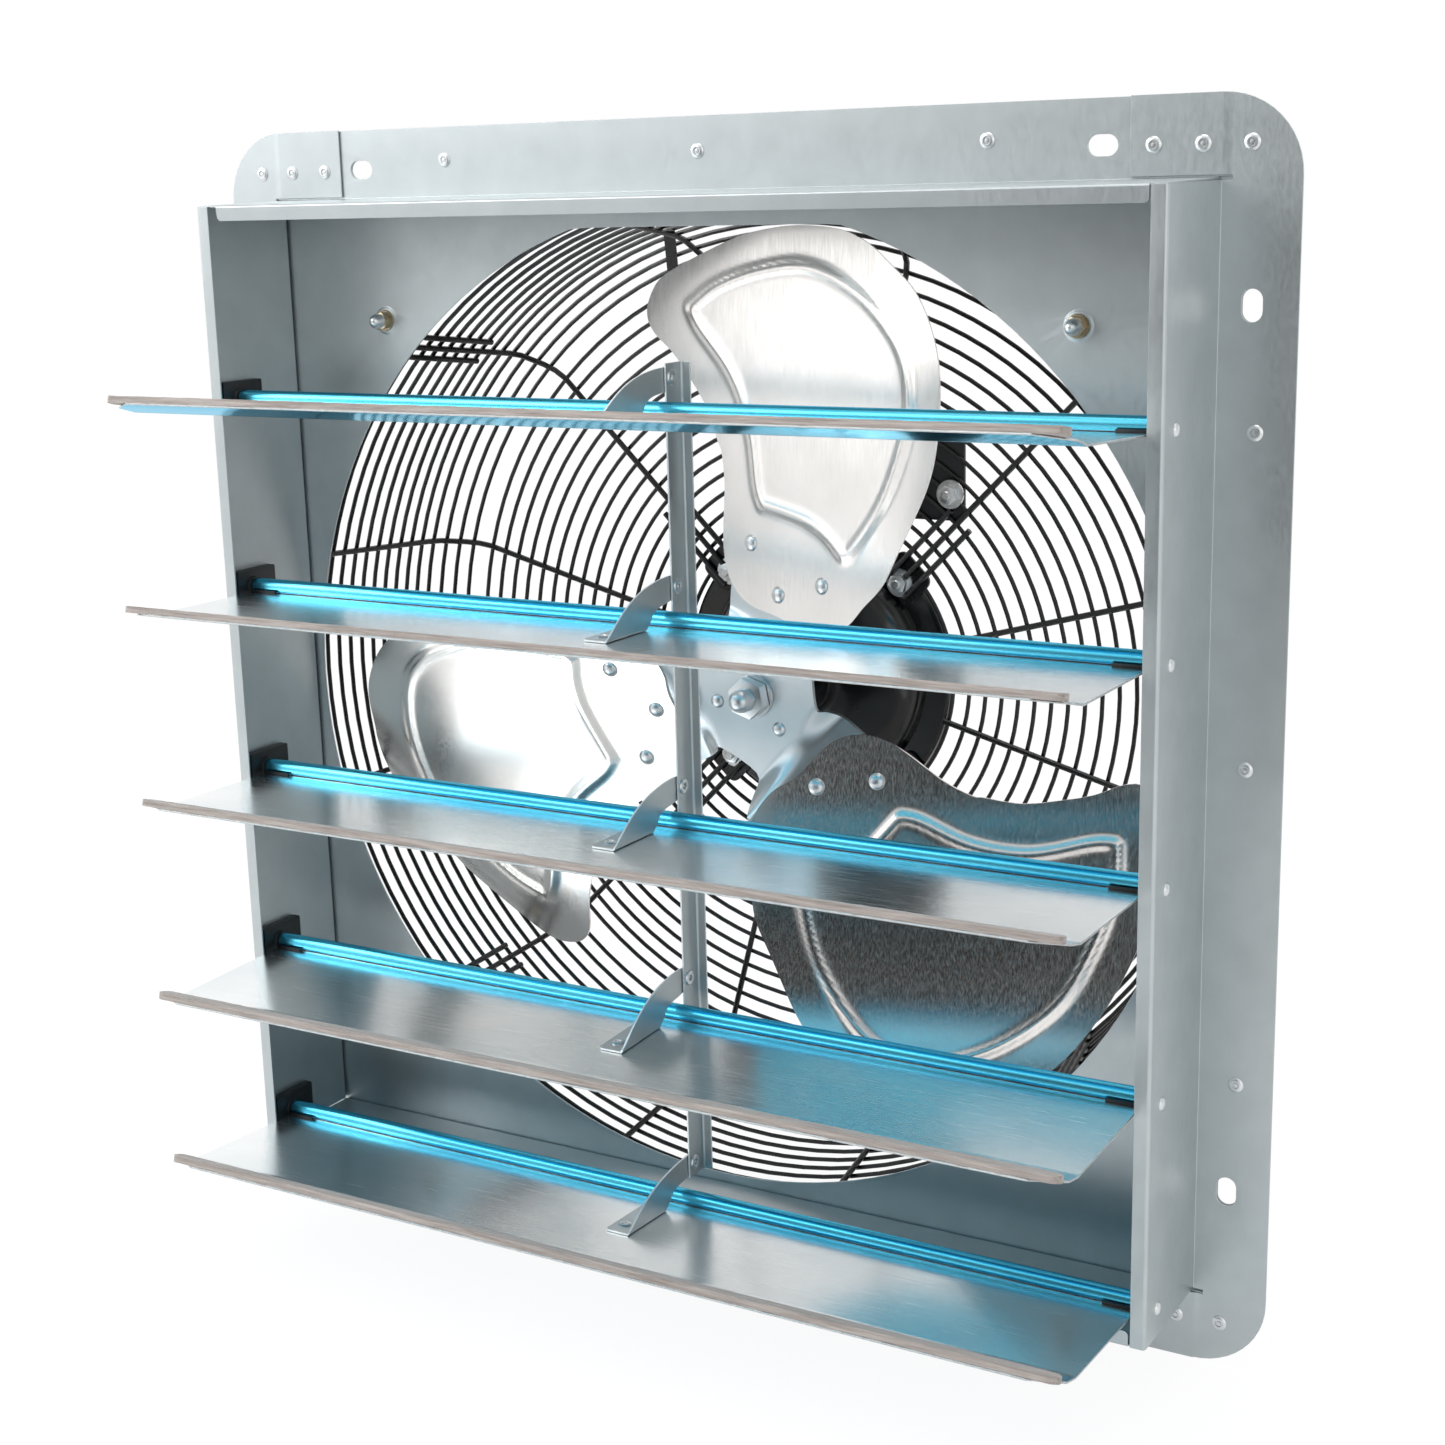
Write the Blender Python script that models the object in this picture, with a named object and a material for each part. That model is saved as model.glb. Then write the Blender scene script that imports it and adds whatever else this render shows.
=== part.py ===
"""Shutter exhaust fan: a galvanised wall box with five linked louvres in front of a
three-blade axial fan that hangs in a wire guard.

Metres, +Z up, air blows towards -Y. The origin is on the fan's axis, in the plane of the
wall flange's front face. The louvres are modelled open, as they stand while the fan blows.
"""
import math

import bmesh
import bpy
from mathutils import Matrix, Vector

# Wall box
sheet = 0.0012
joint_gap = 0.0003
box_depth = 0.083
flange_side = 0.720
flange_width = 0.043
flange_corner = 0.043
tab_corner = 0.093
tab_relief = 0.0006
side_lip = 0.009
cap_lip = 0.0095
cap_lip_end_gap = 0.0015
cap_flange_inset = 0.0004
cap_flange_end = 0.015
top_web_fall = 0.0033
bottom_web_fall = 0.0012
slot_long = 0.0175
slot_wide = 0.0115
slot_tab_gap = 0.016
slot_edge = 0.025
cut_overrun = 0.004

# Venturi panel and guard studs
panel_inset = 0.008
panel_corner = 0.036
opening_margin = 0.007
stud_margin = 0.0275
stud_radius = 0.003
stud_front = 0.020
stud_nut_radius = 0.0065
stud_nut_height = 0.006
stud_head_radius = 0.0065
stud_head_height = 0.004
running_gap = 0.0003

# Wire guard
guard_wire = 0.0036
guard_foot_margin = 0.0075
guard_waist_inset = 0.016
guard_waist_back = 0.103
guard_shoulder_inset = 0.0165
guard_shoulder_back = 0.130
guard_back = 0.1385
guard_rim_inset = 0.013
guard_eye_margin = 0.0145
guard_eye_width = 0.030
guard_eye_reach = 0.012
guard_ribs = 12
side_rings = 7
face_rings = 10
face_hub_ring = 0.0045

# Motor
motor_radius = 0.0985
motor_length = 0.058
motor_flange = 0.009
motor_edge = 0.002
can_radius = 0.080
can_round = 0.018
can_round_steps = 4
bell_radius = 0.081
bell_rise = 0.020
boss_radius = 0.026
boss_rise = 0.012
motor_bolt_circle = 0.0905
motor_bolt_radius = 0.003
motor_bolt_depth = 0.007
motor_tab_width = 0.030
motor_tab_reach = 0.083
bolt_head_radius = 0.0065
bolt_head_height = 0.005
bolt_washer_radius = 0.0095
bolt_washer_height = 0.002
rear_cap_radius = 0.062
rear_cap_height = 0.013
wiring_plate = (0.088, 0.003, 0.060)
wiring_plate_place = (0.0640, 0.136)
wiring_box = (0.066, 0.035, 0.052)
wiring_box_place = (0.0570, 0.136)
wiring_corner = 0.005
wiring_cover = 0.004
gland_radius = 0.009
gland_length = 0.022

# Rotor
shaft_radius = 0.006
shaft_bore_gap = 0.0005
blade_tip_gap = 0.010
blade_sheet = 0.0015
blade_middle = 0.0518
blade_slope = 0.3215
blade_camber_span = 0.200
blade_camber_drop = 0.01668
blade_lean = math.radians(80.5)
blade_count = 3
rib_height = 0.0045
rib_ramp = 0.008
spider_sheet = 0.003
spider_disc = 0.038
spider_hole_gap = 0.0004
spider_arm_reach = 0.106
washer_radius = 0.0145
washer_height = 0.0022
hub_nut_radius = 0.0138
hub_nut_height = 0.0085
dome_radius = 0.0078
dome_height = 0.0120
collar_radius = 0.018
collar_length = 0.030

# Louvres
louvre_count = 5
louvre_top_gap = 0.1230
louvre_bottom_gap = 0.0204
louvre_setback = 0.0195
louvre_end_gap = 0.0105
louvre_sheet = 0.0012
roll_radius = 0.005
roll_lip_angle = math.radians(198)
crease_reach = 0.098
crease_height = -0.0002
front_reach = 0.1240
front_angle = math.radians(16)
front_chamfer = 0.018
closed_travel = math.radians(74)
# How far each louvre droops in its linkage, from the top one down, in degrees
louvre_droops = (0.0, 2.3, 2.3, 4.5, -0.5)
felt_width = 0.010
felt_height = 0.004
felt_end_gap = 0.0005
pin_gap = 0.0003
block_sheet = 0.006
block_back = 0.0216
block_front = 0.0150
block_up = 0.0105
block_down = 0.0085
block_corner = 0.003
block_pin_length = 0.0265

# Linkage
horn_plane = 0.0070
horn_sheet = 0.0012
horn_foot_front = 0.0630
horn_foot_back = 0.0190
horn_foot_width = 0.017
link_pin_back = 0.0137
link_pin_up = 0.0177
link_pin_radius = 0.0022
link_head_radius = 0.0040
link_head_height = 0.0012
horn_eye_radius = 0.0068
bar_sheet = 0.0012
bar_front = 0.0062
bar_leg = 0.0170
bar_flange = 0.0060
bar_overhang = 0.0085

flange_half = flange_side / 2
box_half = flange_half - flange_width
cap_flange_half = flange_half - cap_flange_end
tab_end = flange_half - tab_corner
slot_along = tab_end - slot_tab_gap
slot_out = flange_half - slot_edge
panel_side = flange_side - 2 * panel_inset
opening_radius = box_half - opening_margin
stud_circle = opening_radius + stud_margin
guard_eye_radius = stud_circle + guard_eye_margin
guard_foot_radius = opening_radius + guard_foot_margin
guard_waist_radius = guard_foot_radius - guard_waist_inset
guard_shoulder_radius = guard_waist_radius - guard_shoulder_inset
guard_rim_radius = guard_shoulder_radius - guard_rim_inset
blade_tip = opening_radius - blade_tip_gap
louvre_half = box_half - louvre_end_gap
felt_half = louvre_half - felt_end_gap
louvre_top = box_half - louvre_top_gap
louvre_pitch = (2 * box_half - louvre_top_gap - louvre_bottom_gap) / (louvre_count - 1)
box_front = -box_depth
cap_plane = sheet + joint_gap
panel_plane = 2 * (sheet + joint_gap)
stud_spots = [(sx, sz) for sx in (-1, 1) for sz in (-1, 1)]
louvre_line = box_front + louvre_setback
louvre_heights = [louvre_top - louvre_pitch * row for row in range(louvre_count)]


def clear_scene():
    for thing in list(bpy.data.objects):
        bpy.data.objects.remove(thing, do_unlink=True)


def material(name, colour, roughness, metallic):
    finish = bpy.data.materials.new(name)
    finish.use_nodes = True
    shader = finish.node_tree.nodes["Principled BSDF"]
    shader.inputs["Base Color"].default_value = (*colour, 1.0)
    shader.inputs["Roughness"].default_value = roughness
    shader.inputs["Metallic"].default_value = metallic
    return finish


def add_object(name, mesh, finish, parent=None, smooth_angle=None):
    piece = bpy.data.objects.new(name, mesh)
    bpy.context.scene.collection.objects.link(piece)
    if not mesh.materials:
        mesh.materials.append(finish)
    if smooth_angle is not None:
        mesh.shade_smooth()
        mesh.set_sharp_from_angle(angle=smooth_angle)
    piece.parent = parent
    return piece


def to_mesh(name, shape):
    bmesh.ops.remove_doubles(shape, verts=shape.verts[:], dist=1e-6)
    bmesh.ops.recalc_face_normals(shape, faces=shape.faces[:])
    mesh = bpy.data.meshes.new(name)
    shape.to_mesh(mesh)
    shape.free()
    return mesh


def to_sheet_mesh(name, shape):
    """A surface whose faces already point away from the side that gets the thickness."""
    mesh = bpy.data.meshes.new(name)
    shape.to_mesh(mesh)
    shape.free()
    return mesh


def add_empty(name, place, parent=None):
    pivot = bpy.data.objects.new(name, None)
    bpy.context.scene.collection.objects.link(pivot)
    pivot.location = place
    pivot.parent = parent
    return pivot


def thicken(piece, thickness):
    solid = piece.modifiers.new("Thickness", "SOLIDIFY")
    solid.thickness = thickness
    solid.offset = -1.0
    solid.use_even_offset = True
    solid.use_quality_normals = True
    return piece


def cut(piece, cutter, operation="DIFFERENCE"):
    boolean = piece.modifiers.new(cutter.name, "BOOLEAN")
    boolean.operation = operation
    boolean.solver = "EXACT"
    boolean.object = cutter
    return piece


def as_guide(piece):
    piece.hide_render = True
    piece.display_type = "WIRE"
    return piece


def arc(centre, radius, start, end, steps):
    """Points of an arc in a plane, ends included, angles in radians."""
    turn = (end - start) / steps
    return [(centre[0] + radius * math.cos(start + turn * i),
             centre[1] + radius * math.sin(start + turn * i)) for i in range(steps + 1)]


def rounded_rectangle(half_x, half_z, radius, steps=5):
    points = []
    for corner in range(4):
        sx = 1 if corner in (0, 3) else -1
        sz = 1 if corner in (0, 1) else -1
        start = corner * math.pi / 2
        centre = (sx * (half_x - radius), sz * (half_z - radius))
        points += arc(centre, radius, start, start + math.pi / 2, steps)
    return points


def regular(radius, sides, turn=0.0):
    return [(radius * math.cos(turn + 2 * math.pi * i / sides),
             radius * math.sin(turn + 2 * math.pi * i / sides)) for i in range(sides)]


def face_normal_side(shape, faces, direction):
    """Turns flat faces so that they look along the direction."""
    for face in faces:
        face.normal_update()
        if face.normal.dot(Vector(direction)) < 0:
            face.normal_flip()


def fill_loops(shape, loops, place):
    """Faces of an outline with holes; place turns a plane point into a vertex position."""
    edges = []
    for loop in loops:
        verts = [shape.verts.new(place(point)) for point in loop]
        edges += [shape.edges.new((verts[i - 1], verts[i])) for i in range(len(verts))]
    result = bmesh.ops.triangle_fill(shape, edges=edges, use_beauty=True)
    return [item for item in result["geom"] if isinstance(item, bmesh.types.BMFace)]


def prism(shape, outline, low, high, place):
    """A solid from an outline, between two heights; place takes a point and a height."""
    bottom = [shape.verts.new(place(point, low)) for point in outline]
    top = [shape.verts.new(place(point, high)) for point in outline]
    shape.faces.new(bottom)
    shape.faces.new(top)
    for i in range(len(outline)):
        shape.faces.new((bottom[i - 1], bottom[i], top[i], top[i - 1]))


def ring_walls(shape, outline, low, high):
    """The walls of an outline, between two depths along Y."""
    first = [shape.verts.new((x, low, z)) for x, z in outline]
    second = [shape.verts.new((x, high, z)) for x, z in outline]
    for i in range(len(outline)):
        shape.faces.new((first[i - 1], first[i], second[i], second[i - 1]))


def ring_prism(shape, outline, hole, low, high):
    """A solid with a hole right through, between two depths along Y."""
    for loop in (outline, hole):
        ring_walls(shape, loop, low, high)
    fill_loops(shape, [outline, hole], lambda p: (p[0], low, p[1]))
    fill_loops(shape, [outline, hole], lambda p: (p[0], high, p[1]))


def along_y(point, height):
    return (point[0], height, point[1])


def along_x(point, height):
    return (height, point[0], point[1])


def turned(name, profile, steps, centre=(0.0, 0.0, 0.0), axis="Y"):
    """A closed turned solid; the profile runs as (radius, height) from axis to axis."""
    shape = bmesh.new()
    rows = []
    for radius, height in profile:
        if radius == 0:
            rows.append([shape.verts.new((0, height, 0))])
            continue
        rows.append([shape.verts.new((x, height, z)) for x, z in regular(radius, steps)])
    for first, second in zip(rows, rows[1:]):
        for i in range(steps):
            a = first[i % len(first)]
            b = first[(i + 1) % len(first)]
            c = second[(i + 1) % len(second)]
            d = second[i % len(second)]
            corners = list(dict.fromkeys((a, b, c, d)))
            shape.faces.new(corners)
    if rows[0][0] is not rows[-1][0] and len(rows[0]) > 1:
        for i in range(steps):
            shape.faces.new((rows[-1][i], rows[-1][(i + 1) % steps],
                             rows[0][(i + 1) % steps], rows[0][i]))
    if axis == "X":
        bmesh.ops.rotate(shape, verts=shape.verts[:], cent=(0, 0, 0),
                         matrix=Matrix.Rotation(-math.pi / 2, 3, "Z"))
    bmesh.ops.translate(shape, verts=shape.verts[:], vec=centre)
    return to_mesh(name, shape)


galvanised = material("galvanised sheet", (0.60, 0.65, 0.68), 0.42, 0.85)
aluminium = material("mill aluminium", (0.83, 0.85, 0.87), 0.25, 1.0)
film_blue = material("aluminium under blue film", (0.10, 0.52, 0.80), 0.22, 0.6)
black_coat = material("black coated wire", (0.012, 0.012, 0.013), 0.40, 0.0)
black_enamel = material("black enamel", (0.012, 0.012, 0.013), 0.22, 0.0)
black_nylon = material("black nylon", (0.02, 0.02, 0.022), 0.55, 0.0)
zinc = material("bright zinc plate", (0.75, 0.77, 0.76), 0.28, 1.0)
yellow_zinc = material("yellow zinc plate", (0.76, 0.60, 0.34), 0.32, 1.0)
grey_felt = material("grey felt", (0.30, 0.26, 0.24), 0.95, 0.0)


def flange_slots():
    """Cutter for the eight mounting slots, two along each side of the flange."""
    shape = bmesh.new()
    half = (slot_long - slot_wide) / 2
    radius = slot_wide / 2
    outline = arc((half, 0), radius, -math.pi / 2, math.pi / 2, 6)
    outline += arc((-half, 0), radius, math.pi / 2, 3 * math.pi / 2, 6)
    for quarter in range(4):
        turn = Matrix.Rotation(quarter * math.pi / 2, 2)
        for along in (-slot_along, slot_along):
            points = [turn @ Vector((along + x, slot_out + z)) for x, z in outline]
            prism(shape, points, -cut_overrun, panel_plane + sheet + cut_overrun, along_y)
    return as_guide(add_object("slot_cutter", to_mesh("slot_cutter", shape), galvanised))


def side_panel(name, side, slots):
    """Flange with its corner tabs, web and front lip, bent from one sheet."""
    shape = bmesh.new()
    relief = box_half + tab_relief
    corner = flange_half - flange_corner
    outline = [(box_half, -box_half), (box_half, box_half), (box_half, relief)]
    outline += [(tab_end, relief), (tab_end, flange_half)]
    outline += arc((corner, corner), flange_corner, math.pi / 2, 0, 7)
    outline += arc((corner, -corner), flange_corner, 0, -math.pi / 2, 7)
    outline += [(tab_end, -flange_half), (tab_end, -relief), (box_half, -relief)]
    faces = fill_loops(shape, [outline], lambda p: (side * p[0], 0, p[1]))
    face_normal_side(shape, faces, (0, -1, 0))
    shape.verts.ensure_lookup_table()
    fold = shape.verts[:2]
    lip_x = side * (box_half - side_lip)
    ends = (bottom_web_fall - box_half, box_half - top_web_fall)
    front = [shape.verts.new((side * box_half, box_front, z)) for z in ends]
    edge = [shape.verts.new((lip_x, box_front, z)) for z in ends]
    web = shape.faces.new((fold[0], fold[1], front[1], front[0]))
    lip = shape.faces.new((front[0], front[1], edge[1], edge[0]))
    face_normal_side(shape, [web], (side, 0, 0))
    face_normal_side(shape, [lip], (0, -1, 0))
    panel = add_object(name, to_sheet_mesh(name, shape), galvanised)
    thicken(panel, sheet)
    return cut(panel, slots)


def cap_panel(name, side, slots):
    """Top or bottom panel: flange behind the side panels' tabs, a web that leans inwards
    towards the front, and a front lip that ends short of the side panels' lips."""
    shape = bmesh.new()
    web_half = box_half - sheet - joint_gap
    lip_half = box_half - side_lip - cap_lip_end_gap
    reach = flange_half - cap_flange_inset
    corner = flange_corner - cap_flange_inset
    drop = math.asin((cap_flange_half - reach + corner) / corner)
    centre = reach - corner
    rise = arc((centre, centre), corner, math.pi / 2, math.pi / 2 - drop, 4)
    outline = [(-web_half, box_half), (web_half, box_half), (cap_flange_half, box_half)]
    outline += [(x, z) for x, z in reversed(rise)] + [(-x, z) for x, z in rise]
    outline += [(-cap_flange_half, box_half)]
    faces = fill_loops(shape, [outline], lambda p: (p[0], cap_plane, side * p[1]))
    face_normal_side(shape, faces, (0, -1, 0))
    shape.verts.ensure_lookup_table()
    fold = shape.verts[:2]
    fall = top_web_fall if side > 0 else bottom_web_fall
    behind_lip = box_front + sheet + joint_gap

    def on_web(x, y):
        return (x, y, side * (box_half - fall * (cap_plane - y) / (cap_plane - box_front)))

    notch = [shape.verts.new(on_web(x, behind_lip)) for x in (web_half, lip_half, -lip_half, -web_half)]
    row = [shape.verts.new(on_web(x, box_front)) for x in (lip_half, -lip_half)]
    low = side * (box_half - fall - cap_lip)
    edge = [shape.verts.new((x, box_front, low)) for x in (lip_half, -lip_half)]
    web = shape.faces.new((fold[0], fold[1], notch[0], notch[1], *row, notch[2], notch[3]))
    lip = shape.faces.new((row[0], row[1], edge[1], edge[0]))
    face_normal_side(shape, [web], (0, 0, side))
    face_normal_side(shape, [lip], (0, -1, 0))
    panel = add_object(name, to_sheet_mesh(name, shape), galvanised)
    thicken(panel, sheet)
    return cut(panel, slots)


def stud_holes():
    """Cutter for the four stud holes, through the venturi panel and the guard's eyes."""
    shape = bmesh.new()
    reach = stud_circle / math.sqrt(2)
    hole = regular(stud_radius + running_gap, 12)
    for sx, sz in stud_spots:
        points = [(sx * reach + x, sz * reach + z) for x, z in hole]
        prism(shape, points, -cut_overrun, panel_plane + sheet + guard_wire + 2 * cut_overrun, along_y)
    return as_guide(add_object("stud_cutter", to_mesh("stud_cutter", shape), galvanised))


def venturi_panel(slots, studs):
    shape = bmesh.new()
    half = panel_side / 2
    loops = [rounded_rectangle(half, half, panel_corner), regular(opening_radius, 72)]
    faces = fill_loops(shape, loops, lambda p: (p[0], panel_plane, p[1]))
    face_normal_side(shape, faces, (0, -1, 0))
    panel = add_object("venturi_panel", to_sheet_mesh("venturi_panel", shape), galvanised)
    thicken(panel, sheet)
    cut(panel, slots)
    return cut(panel, studs)


def guard_stud(number, sx, sz):
    """Hex-headed stud from behind, with its nut drawn up on the front of the panel."""
    reach = stud_circle / math.sqrt(2)
    back = panel_plane + sheet + joint_gap + guard_wire + joint_gap
    nut = panel_plane - joint_gap
    profile = [(0, back + stud_head_height), (stud_head_radius, back + stud_head_height),
               (stud_head_radius, back), (stud_radius, back), (stud_radius, nut),
               (stud_nut_radius, nut), (stud_nut_radius, nut - stud_nut_height),
               (stud_radius, nut - stud_nut_height), (stud_radius, nut - stud_front),
               (0, nut - stud_front)]
    mesh = turned("guard_stud", profile, 12)
    stud = add_object(f"guard_stud_{number}", mesh, yellow_zinc)
    stud.location = (sx * reach, 0, sz * reach)
    return stud


def lattice(shape, stations, place):
    """Wire mesh of rings and ribs as one surface. Each station is a ring's two edges,
    each given as (radius, depth); the ribs bridge from ring to ring."""
    rib_step = 2 * math.pi / guard_ribs
    first_rib = rib_step / 2

    def angles(radius):
        half = math.asin(guard_wire / 2 / radius)
        marks = []
        for rib in range(guard_ribs):
            middle = first_rib + rib * rib_step
            marks += [middle - half, middle + half, middle + rib_step / 2]
        return marks

    rows = []
    for radius, depth in stations:
        rows.append([shape.verts.new(place(radius, angle, depth)) for angle in angles(radius)])
    for number in range(len(rows) - 1):
        inner, outer = rows[number], rows[number + 1]
        for i in range(len(inner)):
            is_rib = i % 3 == 0
            is_ring = number % 2 == 0
            if is_rib or is_ring:
                j = (i + 1) % len(inner)
                shape.faces.new((inner[i], inner[j], outer[j], outer[i]))


def polar(radius, angle, depth):
    return (radius * math.cos(angle), depth, radius * math.sin(angle))


def diagonal_tab(shape, near, far, width, low, high):
    """A flat tab on each diagonal, between two distances from the axis."""
    for quarter in range(4):
        turn = Matrix.Rotation(math.pi / 4 + quarter * math.pi / 2, 2)
        points = [turn @ Vector(p) for p in ((near, -width / 2), (far, -width / 2),
                                            (far, width / 2), (near, width / 2))]
        prism(shape, points, low, high, along_y)


def guard_side(studs):
    """The basket's wall: rings on a cone that bends in to the back face, and four eyes."""
    path = [(guard_foot_radius, panel_plane + sheet + joint_gap + guard_wire / 4),
            (guard_waist_radius, guard_waist_back),
            (guard_shoulder_radius, guard_shoulder_back),
            (guard_rim_radius, guard_back + guard_wire / 2)]
    lengths = [math.dist(a, b) for a, b in zip(path, path[1:])]
    whole = sum(lengths)

    def point_at(distance):
        for number, length in enumerate(lengths):
            if distance <= length or number == len(lengths) - 1:
                share = min(distance / length, 1.0)
                a, b = path[number], path[number + 1]
                return (a[0] + (b[0] - a[0]) * share, a[1] + (b[1] - a[1]) * share)
            distance -= length

    stations = []
    for ring in range(side_rings):
        start = (whole - guard_wire) * ring / (side_rings - 1)
        stations += [point_at(start), point_at(start + guard_wire)]
    shape = bmesh.new()
    lattice(shape, stations, polar)
    bmesh.ops.recalc_face_normals(shape, faces=shape.faces[:])
    middle = max(shape.faces, key=lambda face: face.calc_center_median().x)
    if middle.normal.x < 0:
        bmesh.ops.reverse_faces(shape, faces=shape.faces[:])
    basket = add_object("guard_side", to_sheet_mesh("guard_side", shape), black_coat)
    thicken(basket, guard_wire)
    eyes = bmesh.new()
    foot = panel_plane + sheet + joint_gap
    diagonal_tab(eyes, guard_foot_radius - guard_eye_reach + guard_wire, guard_eye_radius,
                 guard_eye_width, foot, foot + guard_wire)
    tabs = as_guide(add_object("eye_tabs", to_mesh("eye_tabs", eyes), black_coat))
    cut(basket, tabs, "UNION")
    return cut(basket, studs)


def motor_bolt_holes():
    shape = bmesh.new()
    reach = motor_bolt_circle / math.sqrt(2)
    hole = regular(motor_bolt_radius + running_gap, 12)
    for sx, sz in stud_spots:
        points = [(sx * reach + x, sz * reach + z) for x, z in hole]
        prism(shape, points, guard_back - cut_overrun,
              guard_back + guard_wire + joint_gap + motor_bolt_depth, along_y)
    return as_guide(add_object("motor_bolt_cutter", to_mesh("motor_bolt_cutter", shape), black_coat))


def guard_face(bolts):
    """The basket's flat back: rings, ribs and the four tabs that carry the motor."""
    inner = motor_radius + guard_wire / 2
    outer = guard_rim_radius - guard_wire / 2 - joint_gap
    stations = [(inner, 0), (inner + face_hub_ring, 0)]
    for ring in range(1, face_rings):
        radius = inner + (outer - guard_wire - inner) * ring / (face_rings - 1)
        stations += [(radius, 0), (radius + guard_wire, 0)]
    shape = bmesh.new()
    lattice(shape, stations, lambda r, a, d: polar(r, a, guard_back))
    face_normal_side(shape, shape.faces[:], (0, -1, 0))
    basket = add_object("guard_face", to_sheet_mesh("guard_face", shape), black_coat)
    thicken(basket, guard_wire)
    tabs = bmesh.new()
    diagonal_tab(tabs, motor_tab_reach, inner + face_hub_ring / 2, motor_tab_width,
                 guard_back, guard_back + guard_wire)
    guide = as_guide(add_object("motor_tabs", to_mesh("motor_tabs", tabs), black_coat))
    cut(basket, guide, "UNION")
    return cut(basket, bolts)


def motor_body(bolts):
    """Flange on the guard with a smaller can behind it, and a bell that comes forward round the shaft."""
    front = guard_back + guard_wire + joint_gap
    back = front + motor_length
    bell = front - bell_rise
    nose = bell - boss_rise
    bore = shaft_radius + shaft_bore_gap
    bell_inner = motor_tab_reach - joint_gap - running_gap
    flange_back = front + motor_flange
    profile = [(0, back)]
    for step in range(can_round_steps + 1):
        turn = math.pi / 2 * step / can_round_steps
        profile.append((can_radius - can_round * (1 - math.sin(turn)), back - can_round * (1 - math.cos(turn))))
    profile += [(can_radius, flange_back), (motor_radius - motor_edge, flange_back),
                (motor_radius, flange_back - motor_edge), (motor_radius, front + motor_edge),
                (motor_radius - motor_edge, front), (min(bell_radius, bell_inner), front),
                ((bell_radius + boss_radius) / 2, bell + bell_rise / 4),
                (boss_radius, bell), (boss_radius, nose), (bore, nose), (bore, bell + boss_rise),
                (0, bell + boss_rise)]
    mesh = turned("motor_body", profile, 36)
    return cut(add_object("motor_body", mesh, black_enamel, smooth_angle=math.radians(35)), bolts)


def motor_rear_cap():
    start = guard_back + guard_wire + joint_gap + motor_length + joint_gap
    end = start + rear_cap_height
    round_off = rear_cap_height / 4
    profile = [(0, end), (rear_cap_radius - round_off, end), (rear_cap_radius, end - round_off),
               (rear_cap_radius, start), (0, start)]
    return add_object("motor_rear_cap", turned("motor_rear_cap", profile, 32), black_enamel,
                      smooth_angle=math.radians(35))


def motor_bolt(number, sx, sz):
    reach = motor_bolt_circle / math.sqrt(2)
    seat = guard_back - joint_gap
    neck = seat - bolt_washer_height
    profile = [(0, seat + motor_bolt_depth), (motor_bolt_radius, seat + motor_bolt_depth),
               (motor_bolt_radius, seat), (bolt_washer_radius, seat), (bolt_washer_radius, neck),
               (bolt_head_radius, neck), (bolt_head_radius, neck - bolt_head_height),
               (0, neck - bolt_head_height)]
    bolt = add_object(f"motor_bolt_{number}", turned("motor_bolt", profile, 12), zinc)
    bolt.location = (sx * reach, 0, sz * reach)
    return bolt


def wiring_parts():
    """Wiring box on the back of the guard, its cover, and the gland for the supply lead."""
    plate_width, plate_depth, plate_height = wiring_plate
    width, depth, height = wiring_box
    x, z = wiring_box_place
    plate_x, plate_z = wiring_plate_place
    front = guard_back + guard_wire + joint_gap
    step = front + plate_depth
    back = step + depth
    foot = [(plate_x + px, plate_z + pz)
            for px, pz in rounded_rectangle(plate_width / 2, plate_height / 2, wiring_corner, 3)]
    outline = [(x + px, z + pz)
               for px, pz in rounded_rectangle(width / 2, height / 2, wiring_corner, 3)]
    body = bmesh.new()
    ring_walls(body, foot, front, step)
    ring_walls(body, outline, step, back)
    fill_loops(body, [foot], lambda p: (p[0], front, p[1]))
    fill_loops(body, [foot, outline], lambda p: (p[0], step, p[1]))
    fill_loops(body, [outline], lambda p: (p[0], back, p[1]))
    add_object("wiring_box", to_mesh("wiring_box", body), black_nylon)
    lid = bmesh.new()
    lid_front = back + joint_gap
    prism(lid, outline, lid_front, lid_front + wiring_cover, along_y)
    add_object("wiring_cover", to_mesh("wiring_cover", lid), black_nylon)
    profile = [(0, 0), (gland_radius, 0), (gland_radius, gland_length / 3),
               (gland_radius * 2 / 3, gland_length / 2), (gland_radius * 2 / 3, gland_length),
               (0, gland_length)]
    gland = add_object("cable_gland", turned("cable_gland", profile, 12), black_nylon)
    gland.rotation_euler = (math.pi / 2, 0, 0)
    gland.location = (x, (step + back) / 2, z + height / 2 + joint_gap)
    return gland


def blade_height(across):
    """Depth of the blade's front face at a distance across it, from the pitch and camber."""
    return blade_middle + blade_slope * across - blade_camber_drop * (across / blade_camber_span) ** 2


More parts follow.
